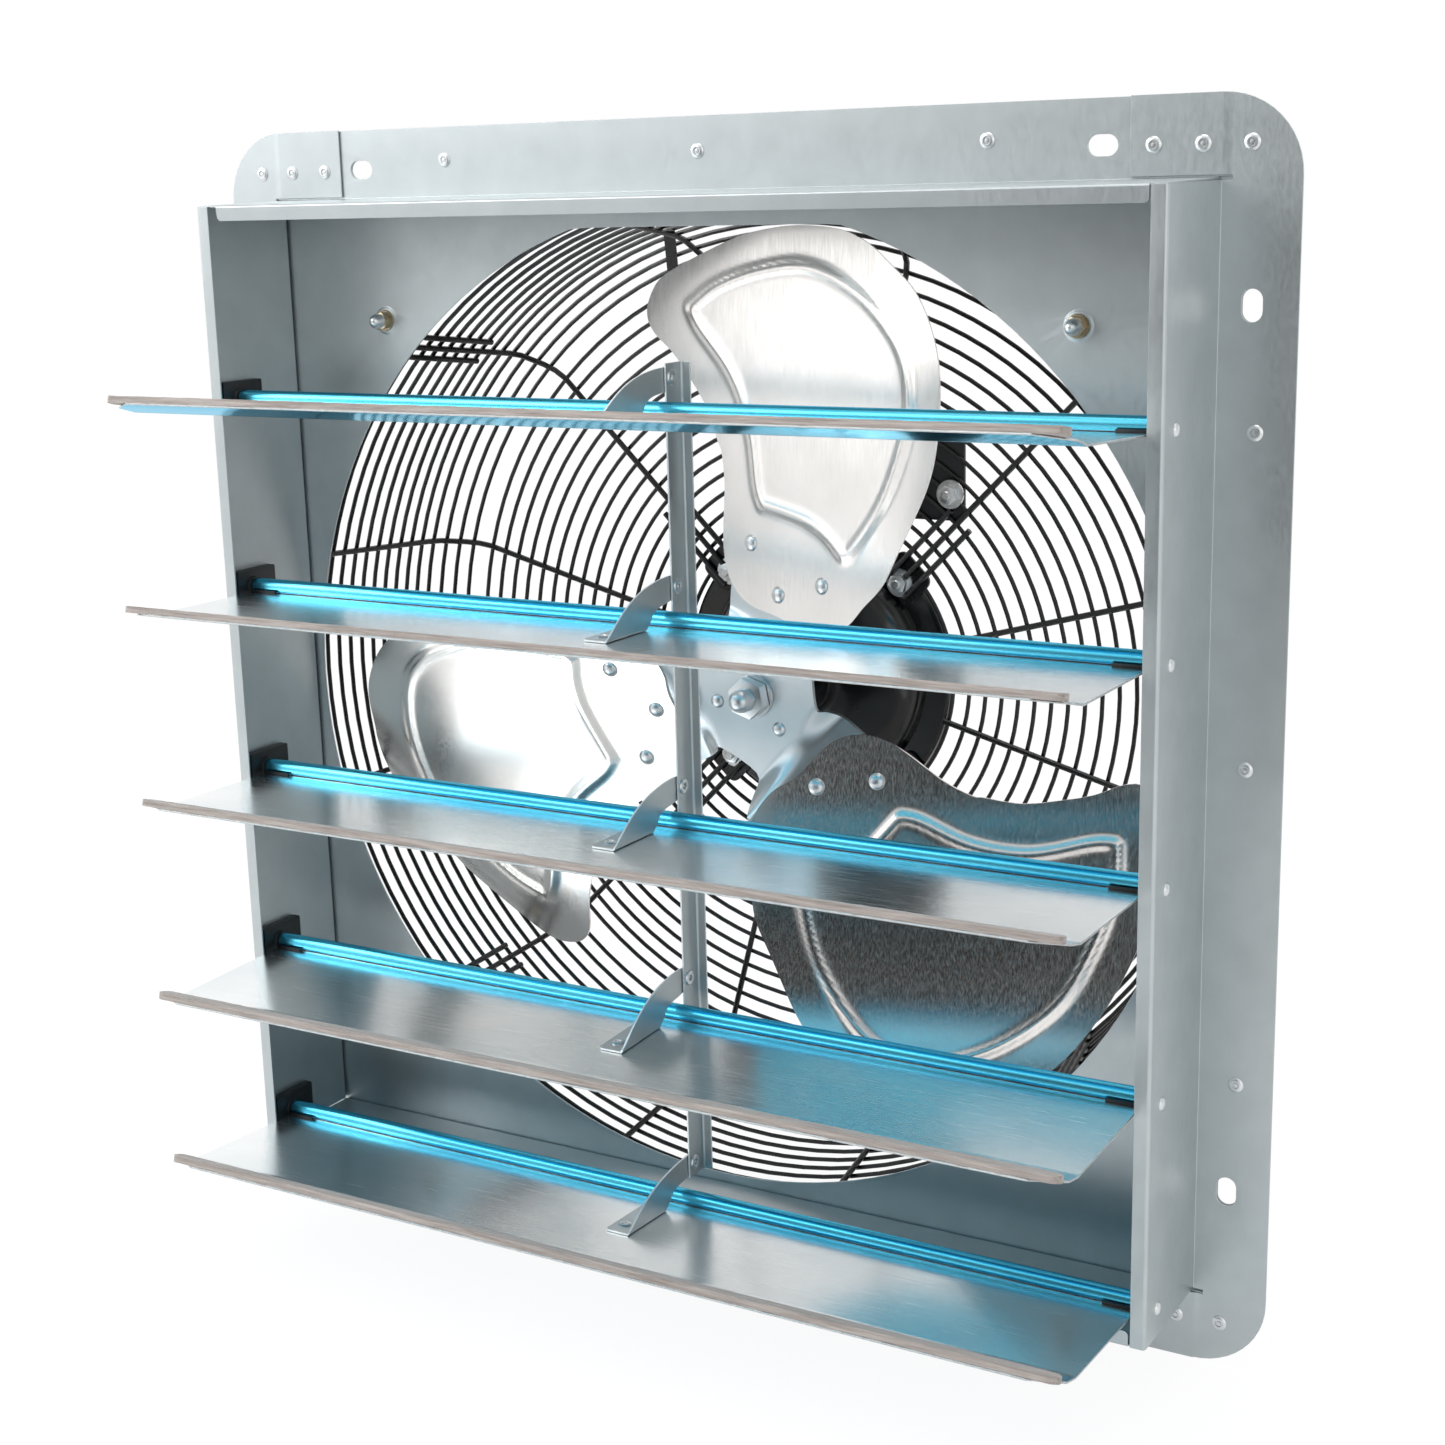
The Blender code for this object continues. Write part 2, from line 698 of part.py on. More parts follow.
# Blade outline in shares of the tip radius, (out, across), from the inner end round by the
# trailing side, the trailing corner, the tip arc and the leading side.
blade_edge_shares = [
    (0.187, 0.000), (0.192, 0.048), (0.223, 0.098), (0.270, 0.130), (0.330, 0.143),
    (0.425, 0.154), (0.492, 0.174), (0.545, 0.208), (0.590, 0.250), (0.640, 0.305),
    (0.680, 0.365), (0.708, 0.412), (0.740, 0.434), (0.785, 0.425), (0.840, 0.370),
    (0.895, 0.290)]
blade_lead_shares = [
    (0.975, -0.190), (0.920, -0.285), (0.850, -0.350), (0.770, -0.386), (0.665, -0.400),
    (0.550, -0.385), (0.425, -0.348), (0.320, -0.300), (0.240, -0.240), (0.195, -0.170),
    (0.178, -0.090)]
rib_shares = [
    (0.772, 0.311), (0.832, 0.240), (0.887, 0.122), (0.916, -0.006), (0.889, -0.142),
    (0.829, -0.246), (0.762, -0.302), (0.659, -0.321), (0.506, -0.289), (0.400, -0.232),
    (0.362, -0.196), (0.402, -0.092), (0.408, 0.040), (0.447, 0.064), (0.558, 0.103),
    (0.658, 0.175), (0.736, 0.280)]
tip_arc_start = math.radians(12.5)
tip_arc_end = math.radians(-8.0)


def blade_outline():
    points = [(blade_tip * u, blade_tip * s) for u, s in blade_edge_shares]
    points += arc((0, 0), blade_tip, tip_arc_start, tip_arc_end, 4)
    return points + [(blade_tip * u, blade_tip * s) for u, s in blade_lead_shares]


def shrink(points, distance):
    """The outline moved inwards by a distance."""
    inner = []
    for i, point in enumerate(points):
        before = Vector(points[i - 1])
        after = Vector(points[(i + 1) % len(points)])
        along = (after - before).normalized()
        inner.append((point[0] - along.y * distance, point[1] + along.x * distance))
    return inner


def area(points):
    return sum(points[i - 1][0] * points[i][1] - points[i][0] * points[i - 1][1]
               for i in range(len(points))) / 2


def blade_mesh():
    """Pitched and cambered sheet with a raised shield-shaped panel pressed into it."""
    shape = bmesh.new()
    outer = blade_outline()
    rib = [(blade_tip * u, blade_tip * s) for u, s in rib_shares]
    inward = 1 if area(rib) > 0 else -1
    crest = shrink(rib, inward * rib_ramp)
    fill_loops(shape, [outer, rib], lambda p: (p[0], 0, p[1]))
    base = [shape.verts.new((u, 0, s)) for u, s in rib]
    top = [shape.verts.new((u, -rib_height, s)) for u, s in crest]
    for i in range(len(rib)):
        shape.faces.new((base[i - 1], base[i], top[i], top[i - 1]))
    fill_loops(shape, [crest], lambda p: (p[0], -rib_height, p[1]))
    bmesh.ops.remove_doubles(shape, verts=shape.verts[:], dist=1e-6)
    for share in (-0.30, -0.20, -0.10, 0.0, 0.10, 0.20, 0.30):
        bmesh.ops.bisect_plane(shape, geom=shape.verts[:] + shape.edges[:] + shape.faces[:],
                               dist=1e-6, plane_co=(0, 0, blade_tip * share), plane_no=(0, 0, 1))
    bmesh.ops.triangulate(shape, faces=shape.faces[:])
    for vert in shape.verts:
        vert.co.y += blade_height(vert.co.z)
    bmesh.ops.recalc_face_normals(shape, faces=shape.faces[:])
    if sum(face.normal.y * face.calc_area() for face in shape.faces) > 0:
        bmesh.ops.reverse_faces(shape, faces=shape.faces[:])
    return to_sheet_mesh("blade", shape)


def fan_turn(number):
    """Turns the blade's own frame (out along +X, across along +Z) to its place on the hub."""
    return (0, -(blade_lean + 2 * math.pi * number / blade_count), 0)


# Crease and arm of the spider as (share of disc radius or arm reach, share of tip radius).
spider_crease_shares = [(0.95, 0.080), (1.00, 0.000), (0.97, -0.060), (0.90, -0.125)]
spider_arm_shares = [
    [(0.51, 0.100), (0.50, 0.000), (0.49, -0.100), (0.51, -0.193)],
    [(0.88, 0.100), (0.97, 0.000), (0.98, -0.100), (0.84, -0.193)]]


def spider_mesh():
    """Hub disc with three arms, each bent along a crease to the pitch of its blade."""
    shape = bmesh.new()
    behind = blade_sheet + joint_gap
    disc_plane = blade_height(0) + behind
    hole = regular(shaft_radius + spider_hole_gap, 12, math.radians(15))
    hole_verts = [shape.verts.new((x, disc_plane, z)) for x, z in hole]
    ring = []
    arms = []
    for number in range(blade_count):
        turn = Matrix.Rotation(2 * math.pi * number / blade_count, 2)
        row = []
        for out, across in spider_crease_shares:
            x, z = turn @ Vector((spider_disc * out, blade_tip * across))
            row.append(shape.verts.new((x, disc_plane, z)))
        ring += row[::-1]
        outer_rows = [row]
        for shares in spider_arm_shares:
            verts = []
            for out, across in shares:
                x, z = turn @ Vector((spider_arm_reach * out, blade_tip * across))
                verts.append(shape.verts.new((x, blade_height(blade_tip * across) + behind, z)))
            outer_rows.append(verts)
        arms.append(outer_rows)
    edges = []
    for loop in (ring, hole_verts):
        edges += [shape.edges.new((loop[i - 1], loop[i])) for i in range(len(loop))]
    bmesh.ops.triangle_fill(shape, edges=edges, use_beauty=True)
    for rows in arms:
        for near, far in zip(rows, rows[1:]):
            for i in range(len(near) - 1):
                shape.faces.new((near[i], near[i + 1], far[i + 1], far[i]))
    bmesh.ops.triangulate(shape, faces=shape.faces[:])
    bmesh.ops.recalc_face_normals(shape, faces=shape.faces[:])
    if sum(face.normal.y * face.calc_area() for face in shape.faces) > 0:
        bmesh.ops.reverse_faces(shape, faces=shape.faces[:])
    return to_sheet_mesh("hub_spider", shape)


def rotor_parts():
    rotor = add_empty("rotor", (0, 0, 0))
    spider = add_object("hub_spider", spider_mesh(), galvanised, rotor)
    thicken(spider, spider_sheet)
    spider.rotation_euler = fan_turn(0)
    blade = blade_mesh()
    for number in range(blade_count):
        piece = add_object(f"blade_{number + 1}", blade, aluminium, rotor)
        thicken(piece, blade_sheet)
        piece.rotation_euler = fan_turn(number)
    disc_front = blade_height(0) + blade_sheet + joint_gap
    disc_back = disc_front + spider_sheet
    washer = disc_front - joint_gap
    bore = shaft_radius + running_gap
    nut = washer - washer_height - joint_gap
    dome = nut - hub_nut_height - joint_gap
    tip = dome - dome_height
    parts = {
        "hub_washer": [(washer_radius, washer), (washer_radius, washer - washer_height),
                       (bore, washer - washer_height), (bore, washer)],
        "hub_collar": [(collar_radius, disc_back + joint_gap + collar_length),
                       (collar_radius, disc_back + joint_gap),
                       (bore, disc_back + joint_gap), (bore, disc_back + joint_gap + collar_length)]}
    for name, profile in parts.items():
        add_object(name, turned(name, profile, 20), zinc, rotor)
    nut_shape = bmesh.new()
    ring_prism(nut_shape, regular(hub_nut_radius, 6), regular(bore, 18), nut - hub_nut_height, nut)
    add_object("hub_nut", to_mesh("hub_nut", nut_shape), zinc, rotor)
    cap = [(0, tip), (dome_radius / 2, tip + dome_height / 8), (dome_radius * 0.85, tip + dome_height * 0.35),
           (dome_radius, tip + dome_height * 0.6), (dome_radius, dome), (0, dome)]
    add_object("dome_nut", turned("dome_nut", cap, 16), zinc, rotor, math.radians(40))
    shaft_end = guard_back + guard_wire + joint_gap - bell_rise + boss_rise - joint_gap
    shaft_start = dome + joint_gap
    profile = [(0, shaft_end), (shaft_radius, shaft_end), (shaft_radius, shaft_start), (0, shaft_start)]
    return add_object("fan_shaft", turned("fan_shaft", profile, 16), zinc, rotor)


def plate_slope():
    """Slope of the louvre plate from the roll's tangent point to the crease."""
    return (crease_height + roll_radius) / crease_reach


def louvre_path():
    """Outer side of the louvre's section as (forward, up), from the roll's free lip."""
    points = []
    steps = 14
    end = -math.pi / 2
    for i in range(steps + 1):
        angle = roll_lip_angle + (end - roll_lip_angle) * i / steps
        points.append((roll_radius * math.cos(angle), roll_radius * math.sin(angle)))
    crease = (-crease_reach, crease_height)
    run = front_reach - crease_reach
    shoulder = (-(crease_reach + run / 2), crease_height + math.tan(front_angle) * run / 2)
    tip = (-front_reach, crease_height + math.tan(front_angle) * run)
    return points + [crease, shoulder, tip]


def droop_turn(droop):
    """Turns the front edge down about the louvre's axis."""
    return Matrix.Rotation(droop, 3, "X")


def louvre_mesh(droop):
    """Sheet curled over at the back, creased near its front edge, corners cut off."""
    shape = bmesh.new()
    rows = []
    path = louvre_path()
    for number, (y, z) in enumerate(path):
        half = louvre_half - (front_chamfer if number == len(path) - 1 else 0)
        rows.append([shape.verts.new((x, y, z)) for x in (-half, half)])
    for first, second in zip(rows, rows[1:]):
        shape.faces.new((first[0], first[1], second[1], second[0]))
    bmesh.ops.recalc_face_normals(shape, faces=shape.faces[:])
    plate = min(shape.faces, key=lambda face: abs(face.calc_center_median().y + crease_reach / 2))
    if plate.normal.z > 0:
        bmesh.ops.reverse_faces(shape, faces=shape.faces[:])
    bmesh.ops.rotate(shape, verts=shape.verts[:], cent=(0, 0, 0), matrix=droop_turn(droop))
    return to_sheet_mesh("louvre_panel", shape)


def felt_mesh(droop):
    """Felt strip on the top of the front edge."""
    shape = bmesh.new()
    tip = Vector(louvre_path()[-1])
    back = Vector((math.cos(front_angle), -math.sin(front_angle)))
    up = Vector((math.sin(front_angle), math.cos(front_angle)))
    low = tip + up * (louvre_sheet + joint_gap)
    outline = [low, low + back * felt_width, low + back * felt_width + up * felt_height,
               low + up * felt_height]
    prism(shape, outline, -felt_half, felt_half, along_x)
    bmesh.ops.rotate(shape, verts=shape.verts[:], cent=(0, 0, 0), matrix=droop_turn(droop))
    return to_mesh("felt_strip", shape)


def horn_outline(droop):
    """Web of the crank bracket as (back, up) from the louvre's axis, bend line first."""
    slope = plate_slope()
    base = joint_gap + louvre_sheet - roll_radius

    def on_plate(forward):
        place = droop_turn(droop) @ Vector((0, -forward, base + slope * forward))
        return (place.y, place.z)

    bend = [on_plate(horn_foot_back), on_plate(horn_foot_front)]
    pin = (link_pin_back, link_pin_up)
    # Front edge and rear edge of the horn as shares of the way from foot to pin.
    rise = link_pin_up - bend[1][1]
    run = link_pin_back + horn_foot_front
    front_shares = ((0.045, 0.16), (0.15, 0.45), (0.27, 0.74), (0.40, 0.98), (0.55, 1.17), (0.74, 1.30),
                    (0.90, 1.34))
    front = [(bend[1][0] + run * a, bend[1][1] + rise * b) for a, b in front_shares]
    eye = arc(pin, horn_eye_radius, math.radians(80), math.radians(-80), 8)
    rise = link_pin_up - bend[0][1]
    run = link_pin_back + horn_foot_back
    rear_shares = ((0.66, 0.58), (0.42, 0.53), (0.22, 0.40), (0.10, 0.18))
    rear = [(bend[0][0] + run * a, bend[0][1] + rise * b) for a, b in rear_shares]
    return bend, front + eye + rear


def horn_mesh(droop):
    shape = bmesh.new()
    bend, rest = horn_outline(droop)
    hole = [(link_pin_back + y, link_pin_up + z) for y, z in regular(link_pin_radius + running_gap, 12)]
    faces = fill_loops(shape, [bend + rest, hole], lambda p: (horn_plane, p[0], p[1]))
    face_normal_side(shape, faces, (1, 0, 0))
    shape.verts.ensure_lookup_table()
    back, front = shape.verts[0], shape.verts[1]
    inner = [shape.verts.new((horn_plane - horn_foot_width, vert.co.y, vert.co.z))
             for vert in (back, front)]
    foot = shape.faces.new((back, front, inner[1], inner[0]))
    face_normal_side(shape, [foot], (0, 0, -1))
    return to_sheet_mesh("crank_bracket", shape)


def link_pin_mesh():
    """Rivet through the horn's eye and the tie bar, a head at each end."""
    left = horn_plane - horn_sheet - joint_gap
    right = horn_plane + joint_gap + bar_sheet + joint_gap
    profile = [(0, left - link_head_height), (link_head_radius, left - link_head_height),
               (link_head_radius, left), (link_pin_radius, left), (link_pin_radius, right),
               (link_head_radius, right), (link_head_radius, right + link_head_height),
               (0, right + link_head_height)]
    return turned("link_pin", profile, 12, (0, link_pin_back, link_pin_up), "X")


def tie_bar_mesh():
    """Angle bar whose wide leg takes the five rivets, in the frame of the middle rivet."""
    shape = bmesh.new()
    middle = louvre_count // 2
    top = louvre_pitch * middle + bar_overhang
    left = horn_plane + joint_gap
    back = bar_leg - bar_front
    outline = [(back, top), (back, -top), (-bar_front, -top), (-bar_front, top)]
    holes = []
    for row in range(louvre_count):
        lift = louvre_pitch * (middle - row)
        holes.append([(y, z + lift) for y, z in regular(link_pin_radius + running_gap, 12)])
    faces = fill_loops(shape, [outline] + holes, lambda p: (left, p[0], p[1]))
    face_normal_side(shape, faces, (-1, 0, 0))
    shape.verts.ensure_lookup_table()
    upper, lower = shape.verts[0], shape.verts[1]
    outer = [shape.verts.new((left + bar_flange, vert.co.y, vert.co.z)) for vert in (upper, lower)]
    flange = shape.faces.new((upper, lower, outer[1], outer[0]))
    face_normal_side(shape, [flange], (0, 1, 0))
    return to_sheet_mesh("tie_bar", shape)


def pivot_block_mesh(side):
    """Nylon block on the side wall with the pin that the louvre's roll turns on."""
    wall = side * (box_half - sheet - joint_gap)
    face = wall - side * block_sheet
    outline = [(y + (block_back - block_front) / 2, z + (block_up - block_down) / 2)
               for y, z in rounded_rectangle((block_back + block_front) / 2,
                                             (block_up + block_down) / 2, block_corner, 3)]
    shape = bmesh.new()
    pin = regular(roll_radius - louvre_sheet - pin_gap, 12)
    fill_loops(shape, [outline, pin], lambda p: (face, p[0], p[1]))
    rim = [shape.verts.new((face, y, z)) for y, z in outline]
    rear = [shape.verts.new((wall, y, z)) for y, z in outline]
    near = [shape.verts.new((face, y, z)) for y, z in pin]
    far = [shape.verts.new((face - side * block_pin_length, y, z)) for y, z in pin]
    shape.faces.new(rear)
    shape.faces.new(far)
    for low, high in ((rim, rear), (near, far)):
        for i in range(len(low)):
            shape.faces.new((low[i - 1], low[i], high[i], high[i - 1]))
    return to_mesh(f"pivot_block_{'left' if side < 0 else 'right'}", shape)


def shutter():
    pin = link_pin_mesh()
    blocks = {"left": pivot_block_mesh(-1), "right": pivot_block_mesh(1)}
    for row, height in enumerate(louvre_heights, start=1):
        droop = math.radians(louvre_droops[(row - 1) % len(louvre_droops)])
        pivot = add_empty(f"louvre_{row}", (0, louvre_line, height))
        thicken(add_object(f"louvre_panel_{row}", louvre_mesh(droop), film_blue, pivot), louvre_sheet)
        add_object(f"felt_strip_{row}", felt_mesh(droop), grey_felt, pivot)
        thicken(add_object(f"crank_bracket_{row}", horn_mesh(droop), galvanised, pivot), horn_sheet)
        add_object(f"link_pin_{row}", pin, zinc, pivot)
        for side, mesh in blocks.items():
            block = add_object(f"pivot_block_{side}_{row}", mesh, black_nylon)
            block.location = (0, louvre_line, height)
    middle = louvre_heights[louvre_count // 2]
    joint = add_empty("tie_bar_joint", (0, louvre_line + link_pin_back, middle + link_pin_up))
    return thicken(add_object("tie_bar", tie_bar_mesh(), galvanised, joint), bar_sheet)


def main():
    slots = flange_slots()
    studs = stud_holes()
    bolts = motor_bolt_holes()
    side_panel("side_panel_left", -1, slots)
    side_panel("side_panel_right", 1, slots)
    cap_panel("top_panel", 1, slots)
    cap_panel("bottom_panel", -1, slots)
    venturi_panel(slots, studs)
    for number, (sx, sz) in enumerate(stud_spots, start=1):
        guard_stud(number, sx, sz)
        motor_bolt(number, sx, sz)
    guard_side(studs)
    guard_face(bolts)
    motor_body(bolts)
    motor_rear_cap()
    wiring_parts()
    rotor_parts()
    shutter()


clear_scene()
main()
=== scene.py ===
# %% [markdown]
# # Dressing a shutter exhaust fan
# The object is a square sheet-metal box for a wall opening. Five linked louvres close its front,
# and a three-blade fan with its motor hangs in a wire guard at its back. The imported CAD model
# gives every place and size. This notebook puts the finished shapes and surfaces on it: folded
# sheet, pressed blades, round wire, peelable blue film, felt and rivets.
# The frame comes first, because every piece rides on one of its bodies.

# %% Load the frame
import math

import bmesh
import bpy
import numpy as np
from mathutils import Matrix, Vector, noise
from mathutils.geometry import interpolate_bezier


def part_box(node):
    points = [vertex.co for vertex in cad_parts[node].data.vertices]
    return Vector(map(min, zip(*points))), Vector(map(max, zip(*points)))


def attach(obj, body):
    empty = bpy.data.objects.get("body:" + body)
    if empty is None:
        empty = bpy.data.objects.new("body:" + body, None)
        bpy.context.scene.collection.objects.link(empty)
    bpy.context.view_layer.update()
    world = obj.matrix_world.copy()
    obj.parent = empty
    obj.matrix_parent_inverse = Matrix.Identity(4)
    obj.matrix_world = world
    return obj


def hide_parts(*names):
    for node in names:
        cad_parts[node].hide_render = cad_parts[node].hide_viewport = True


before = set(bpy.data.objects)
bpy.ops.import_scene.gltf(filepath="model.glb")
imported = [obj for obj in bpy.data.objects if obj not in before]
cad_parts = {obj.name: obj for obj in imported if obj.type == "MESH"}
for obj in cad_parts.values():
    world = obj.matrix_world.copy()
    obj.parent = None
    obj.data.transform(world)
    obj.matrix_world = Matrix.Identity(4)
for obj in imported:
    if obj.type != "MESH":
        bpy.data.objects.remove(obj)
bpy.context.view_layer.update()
mm = 0.001

# %% [markdown]
# ## Camera
# The photograph was taken from the right of the fan and a little above its middle. The place,
# the turn and the lens below were fitted to the flange corners, the slots and the louvre ends.

# %% Camera
def turn_by(degrees, axis):
    """Rotation about an axis."""
    return Matrix.Rotation(math.radians(degrees), 4, axis)


def add_object(name, data):
    """Puts data into the scene as a new object."""
    made = bpy.data.objects.new(name, data)
    bpy.context.scene.collection.objects.link(made)
    return made


eye_place = Vector((691.95, -1174.04, 317.13)) * mm
eye_yaw, eye_pitch, eye_roll = 30.23, -13.34, 1.46
eye = add_object("eye", bpy.data.cameras.new("eye"))
look = turn_by(eye_yaw, "Z") @ turn_by(eye_pitch, "X") @ turn_by(eye_roll, "Y")
eye.matrix_world = Matrix.Translation(eye_place) @ look @ turn_by(90, "X")
eye.data.sensor_width = 36
eye.data.lens = 56.0
eye.data.clip_start = 0.01
bpy.context.scene.camera = eye
bpy.context.scene.view_settings.view_transform = "Standard"
print("camera", round(eye_place.length, 2), "m from the fan")

# %% [markdown]
# ## Helpers for materials
# A material is a small tree of nodes. One function adds a node, sets its properties and joins
# its inputs, so that each finish below reads as a short list. Colours are written as the hex
# values that a colour picker shows, and turned to the linear values that the renderer uses.

# %% Node helpers
def linear(hex_colour):
    """Linear RGBA of an sRGB colour such as "#b9c3c8"."""
    parts = [int(hex_colour[i:i + 2], 16) / 255 for i in (1, 3, 5)]
    return tuple(p / 12.92 if p <= 0.04045 else ((p + 0.055) / 1.055) ** 2.4 for p in parts) + (1.0,)


def node(tree, kind, inputs=None, output=0, **settings):
    """Adds one node and gives back one of its outputs. An input is a value or another output."""
    made = tree.nodes.new(kind)
    for name, value in settings.items():
        setattr(made, name, value)
    for socket, value in (inputs or {}).items():
        if isinstance(value, bpy.types.NodeSocket):
            tree.links.new(value, made.inputs[socket])
        else:
            made.inputs[socket].default_value = value
    return made.outputs[output] if len(made.outputs) else made


def new_finish(name, colour, metallic, roughness, **constants):
    """A material with one Principled shader; gives back the material, its tree and the shader."""
    finish = bpy.data.materials.new(name)
    finish.use_nodes = True
    shader = finish.node_tree.nodes["Principled BSDF"]
    shader.inputs["Base Color"].default_value = linear(colour)
    shader.inputs["Metallic"].default_value = metallic
    shader.inputs["Roughness"].default_value = roughness
    for socket, value in constants.items():
        shader.inputs[socket.replace("_", " ")].default_value = value
    finish.diffuse_color = linear(colour)
    return finish, finish.node_tree, shader


def vary(shader, socket, pattern):
    """Lets a pattern drive one socket of the shader."""
    shader.id_data.links.new(pattern, shader.inputs[socket])


def grain(tree, size_mm, stretch=(1, 1, 1), detail=2.0, roughness=0.5):
    """Noise from 0 to 1 whose spots are about size_mm across, longer where stretch is above 1."""
    where = node(tree, "ShaderNodeTexCoord", output=3)
    mapped = node(tree, "ShaderNodeMapping", {"Vector": where, "Scale": [1 / s for s in stretch]})
    return node(tree, "ShaderNodeTexNoise",
                {"Vector": mapped, "Scale": 1000 / size_mm, "Detail": detail, "Roughness": roughness})


def between(tree, share, low, high):
    """A number from low to high as share goes from 0.3 to 0.7, the span that noise fills."""
    return node(tree, "ShaderNodeMapRange", {"Value": share, "From Min": 0.3, "From Max": 0.7,
                                             "To Min": low, "To Max": high})


def tint(tree, share, low, high):
    """A colour between two hex colours."""
    even = between(tree, share, 0, 1)
    return node(tree, "ShaderNodeMix", {0: even, 6: linear(low), 7: linear(high)}, output=2,
                data_type="RGBA")


def bump(tree, shader, height, depth_mm, strength=1.0):
    """Raises the surface by a pattern, depth_mm from its lowest to its highest."""
    made = node(tree, "ShaderNodeBump", {"Height": height, "Distance": depth_mm * mm, "Strength": strength})
    vary(shader, "Normal", made)


print("helpers ready")

# %% [markdown]
# ## Galvanised steel
# The box is cold-rolled steel dipped in molten zinc and rolled again, so its crystals are fine
# and the face is satin, not mirror. To the eye it is a cool light grey with soft, cloudy
# reflections and faint lengthwise streaks from the rolls.

# %% Galvanised steel
galvanised, tree, shader = new_finish("galvanised steel", "#bac1c3", 0.85, 0.38)
cloud = grain(tree, 22, detail=4)
vary(shader, "Base Color", tint(tree, cloud, "#b7bec0", "#bec5c7"))
streak = grain(tree, 2, stretch=(1, 1, 3), detail=3)
vary(shader, "Roughness", between(tree, streak, 0.34, 0.42))
# The zinc's crystals are under 1 mm. They are drawn at 1.5 mm so that they show at all.
bump(tree, shader, grain(tree, 1.5, detail=1), 0.008)

# %% [markdown]
# ## Aluminium
# Blades and louvres are thin aluminium sheet straight from the rolling mill. It mirrors the
# room, blurred a little along the rolling direction. The louvres' upper face is the brighter
# of the two, because its film has just been peeled off.

# %% Mill-finish aluminium
blade_metal, tree, shader = new_finish("mill finish aluminium", "#ebe8e5", 1.0, 0.22)
vary(shader, "Base Color", tint(tree, grain(tree, 45, detail=3), "#e7e4e1", "#f0edea"))
rolled = grain(tree, 0.8, stretch=(1, 1, 40), detail=3)
vary(shader, "Roughness", between(tree, rolled, 0.16, 0.27))
# Rolling lines are some hundredths of a millimetre wide, and are drawn at 0.8 mm.
bump(tree, shader, rolled, 0.004)

louvre_metal, tree, shader = new_finish("bright aluminium sheet", "#e4e7e7", 1.0, 0.2)
vary(shader, "Base Color", tint(tree, grain(tree, 70, detail=2), "#dfe5e7", "#edefef"))
rolled = grain(tree, 0.7, stretch=(60, 1, 1), detail=3)
vary(shader, "Roughness", between(tree, rolled, 0.18, 0.28))
# Thin sheet is never quite flat: waves of about 90 mm bend what it mirrors.
bump(tree, shader, grain(tree, 90, stretch=(1.5, 1, 1), detail=1), 0.2)

# %% [markdown]
# ## Blue film
# The louvres' outer face still has its protective polyethylene film. It is clear blue plastic
# on bright metal, so light passes the film, mirrors off the metal and comes back blue, while
# the film's own gloss adds a white glint. A tinted metal under a clear coat gives just that.
# Round the rolled edge the film is creased, so it is rougher and duller there.

# %% Blue film on aluminium
def blue_film(name, roughness, wrinkles):
    """Bright metal under clear blue plastic with soft wrinkles."""
    finish, tree, shader = new_finish(name, "#54c6e8", 1.0, roughness, Coat_Weight=0.3,
                                      Coat_Roughness=roughness / 2, Specular_Tint=linear("#9fe0f2"))
    patches = grain(tree, 25, stretch=(4, 1, 1))
    vary(shader, "Base Color", tint(tree, patches, "#4abfe3", "#62d0ec"))
    bump(tree, shader, grain(tree, 12, stretch=(3, 1, 1), detail=2), wrinkles)
    return finish


film = blue_film("blue film on aluminium", 0.16, 0.05)
rolled_film = blue_film("blue film round the roll", 0.27, 0.08)

# The shears leave a bright bare edge all round each sheet.
cut_edge, tree, shader = new_finish("sheared edge", "#eef2f3", 0.5, 0.4)
vary(shader, "Base Color", tint(tree, grain(tree, 3), "#e2e9eb", "#f8fafa"))

# %% [markdown]
# ## Black parts
# The guard is steel wire in glossy powder coat, the motor is enamelled, and the pivot blocks
# are moulded nylon. All are black to the eye, but each shines in its own way: powder coat has
# a faint orange peel, enamel is deep and smooth, and nylon is dull with a fine moulded grain.

# %% Powder coat, enamel and nylon
black_wire, tree, shader = new_finish("black powder coat", "#070708", 0.0, 0.3)
vary(shader, "Roughness", between(tree, grain(tree, 5), 0.22, 0.36))
bump(tree, shader, grain(tree, 1.2), 0.03)

enamel, tree, shader = new_finish("black motor enamel", "#0c0d0e", 0.0, 0.2, Coat_Weight=0.4,
                                  Coat_Roughness=0.12)
vary(shader, "Roughness", between(tree, grain(tree, 14), 0.17, 0.28))
bump(tree, shader, grain(tree, 2.5), 0.02)

nylon, tree, shader = new_finish("moulded black nylon", "#101417", 0.0, 0.5)
vary(shader, "Base Color", tint(tree, grain(tree, 8), "#0e1215", "#15191c"))
bump(tree, shader, grain(tree, 0.9), 0.02)

# %% [markdown]
# ## Plated fixings and felt
# Rivets and motor bolts are bright zinc, the guard's studs are zinc with a yellow chromate,
# which looks like pale brass with a hint of pink. The felt along each louvre's front edge is
# grey-brown pressed wool: no shine at all, and a fuzz of fibres that catches light at its rim.

# %% Zinc plating and felt
zinc, tree, shader = new_finish("bright zinc plating", "#d6d9da", 1.0, 0.32)
vary(shader, "Base Color", tint(tree, grain(tree, 9), "#d0d4d6", "#dcdfe0"))
vary(shader, "Roughness", between(tree, grain(tree, 5), 0.28, 0.36))

plain_zinc, tree, shader = new_finish("dull zinc plating", "#c6d0d4", 1.0, 0.3)
vary(shader, "Base Color", tint(tree, grain(tree, 30), "#c2ccd0", "#cbd4d8"))

yellow_zinc, tree, shader = new_finish("yellow chromate zinc", "#b3a68e", 1.0, 0.26)
vary(shader, "Base Color", tint(tree, grain(tree, 4), "#a6967a", "#c0b49c"))

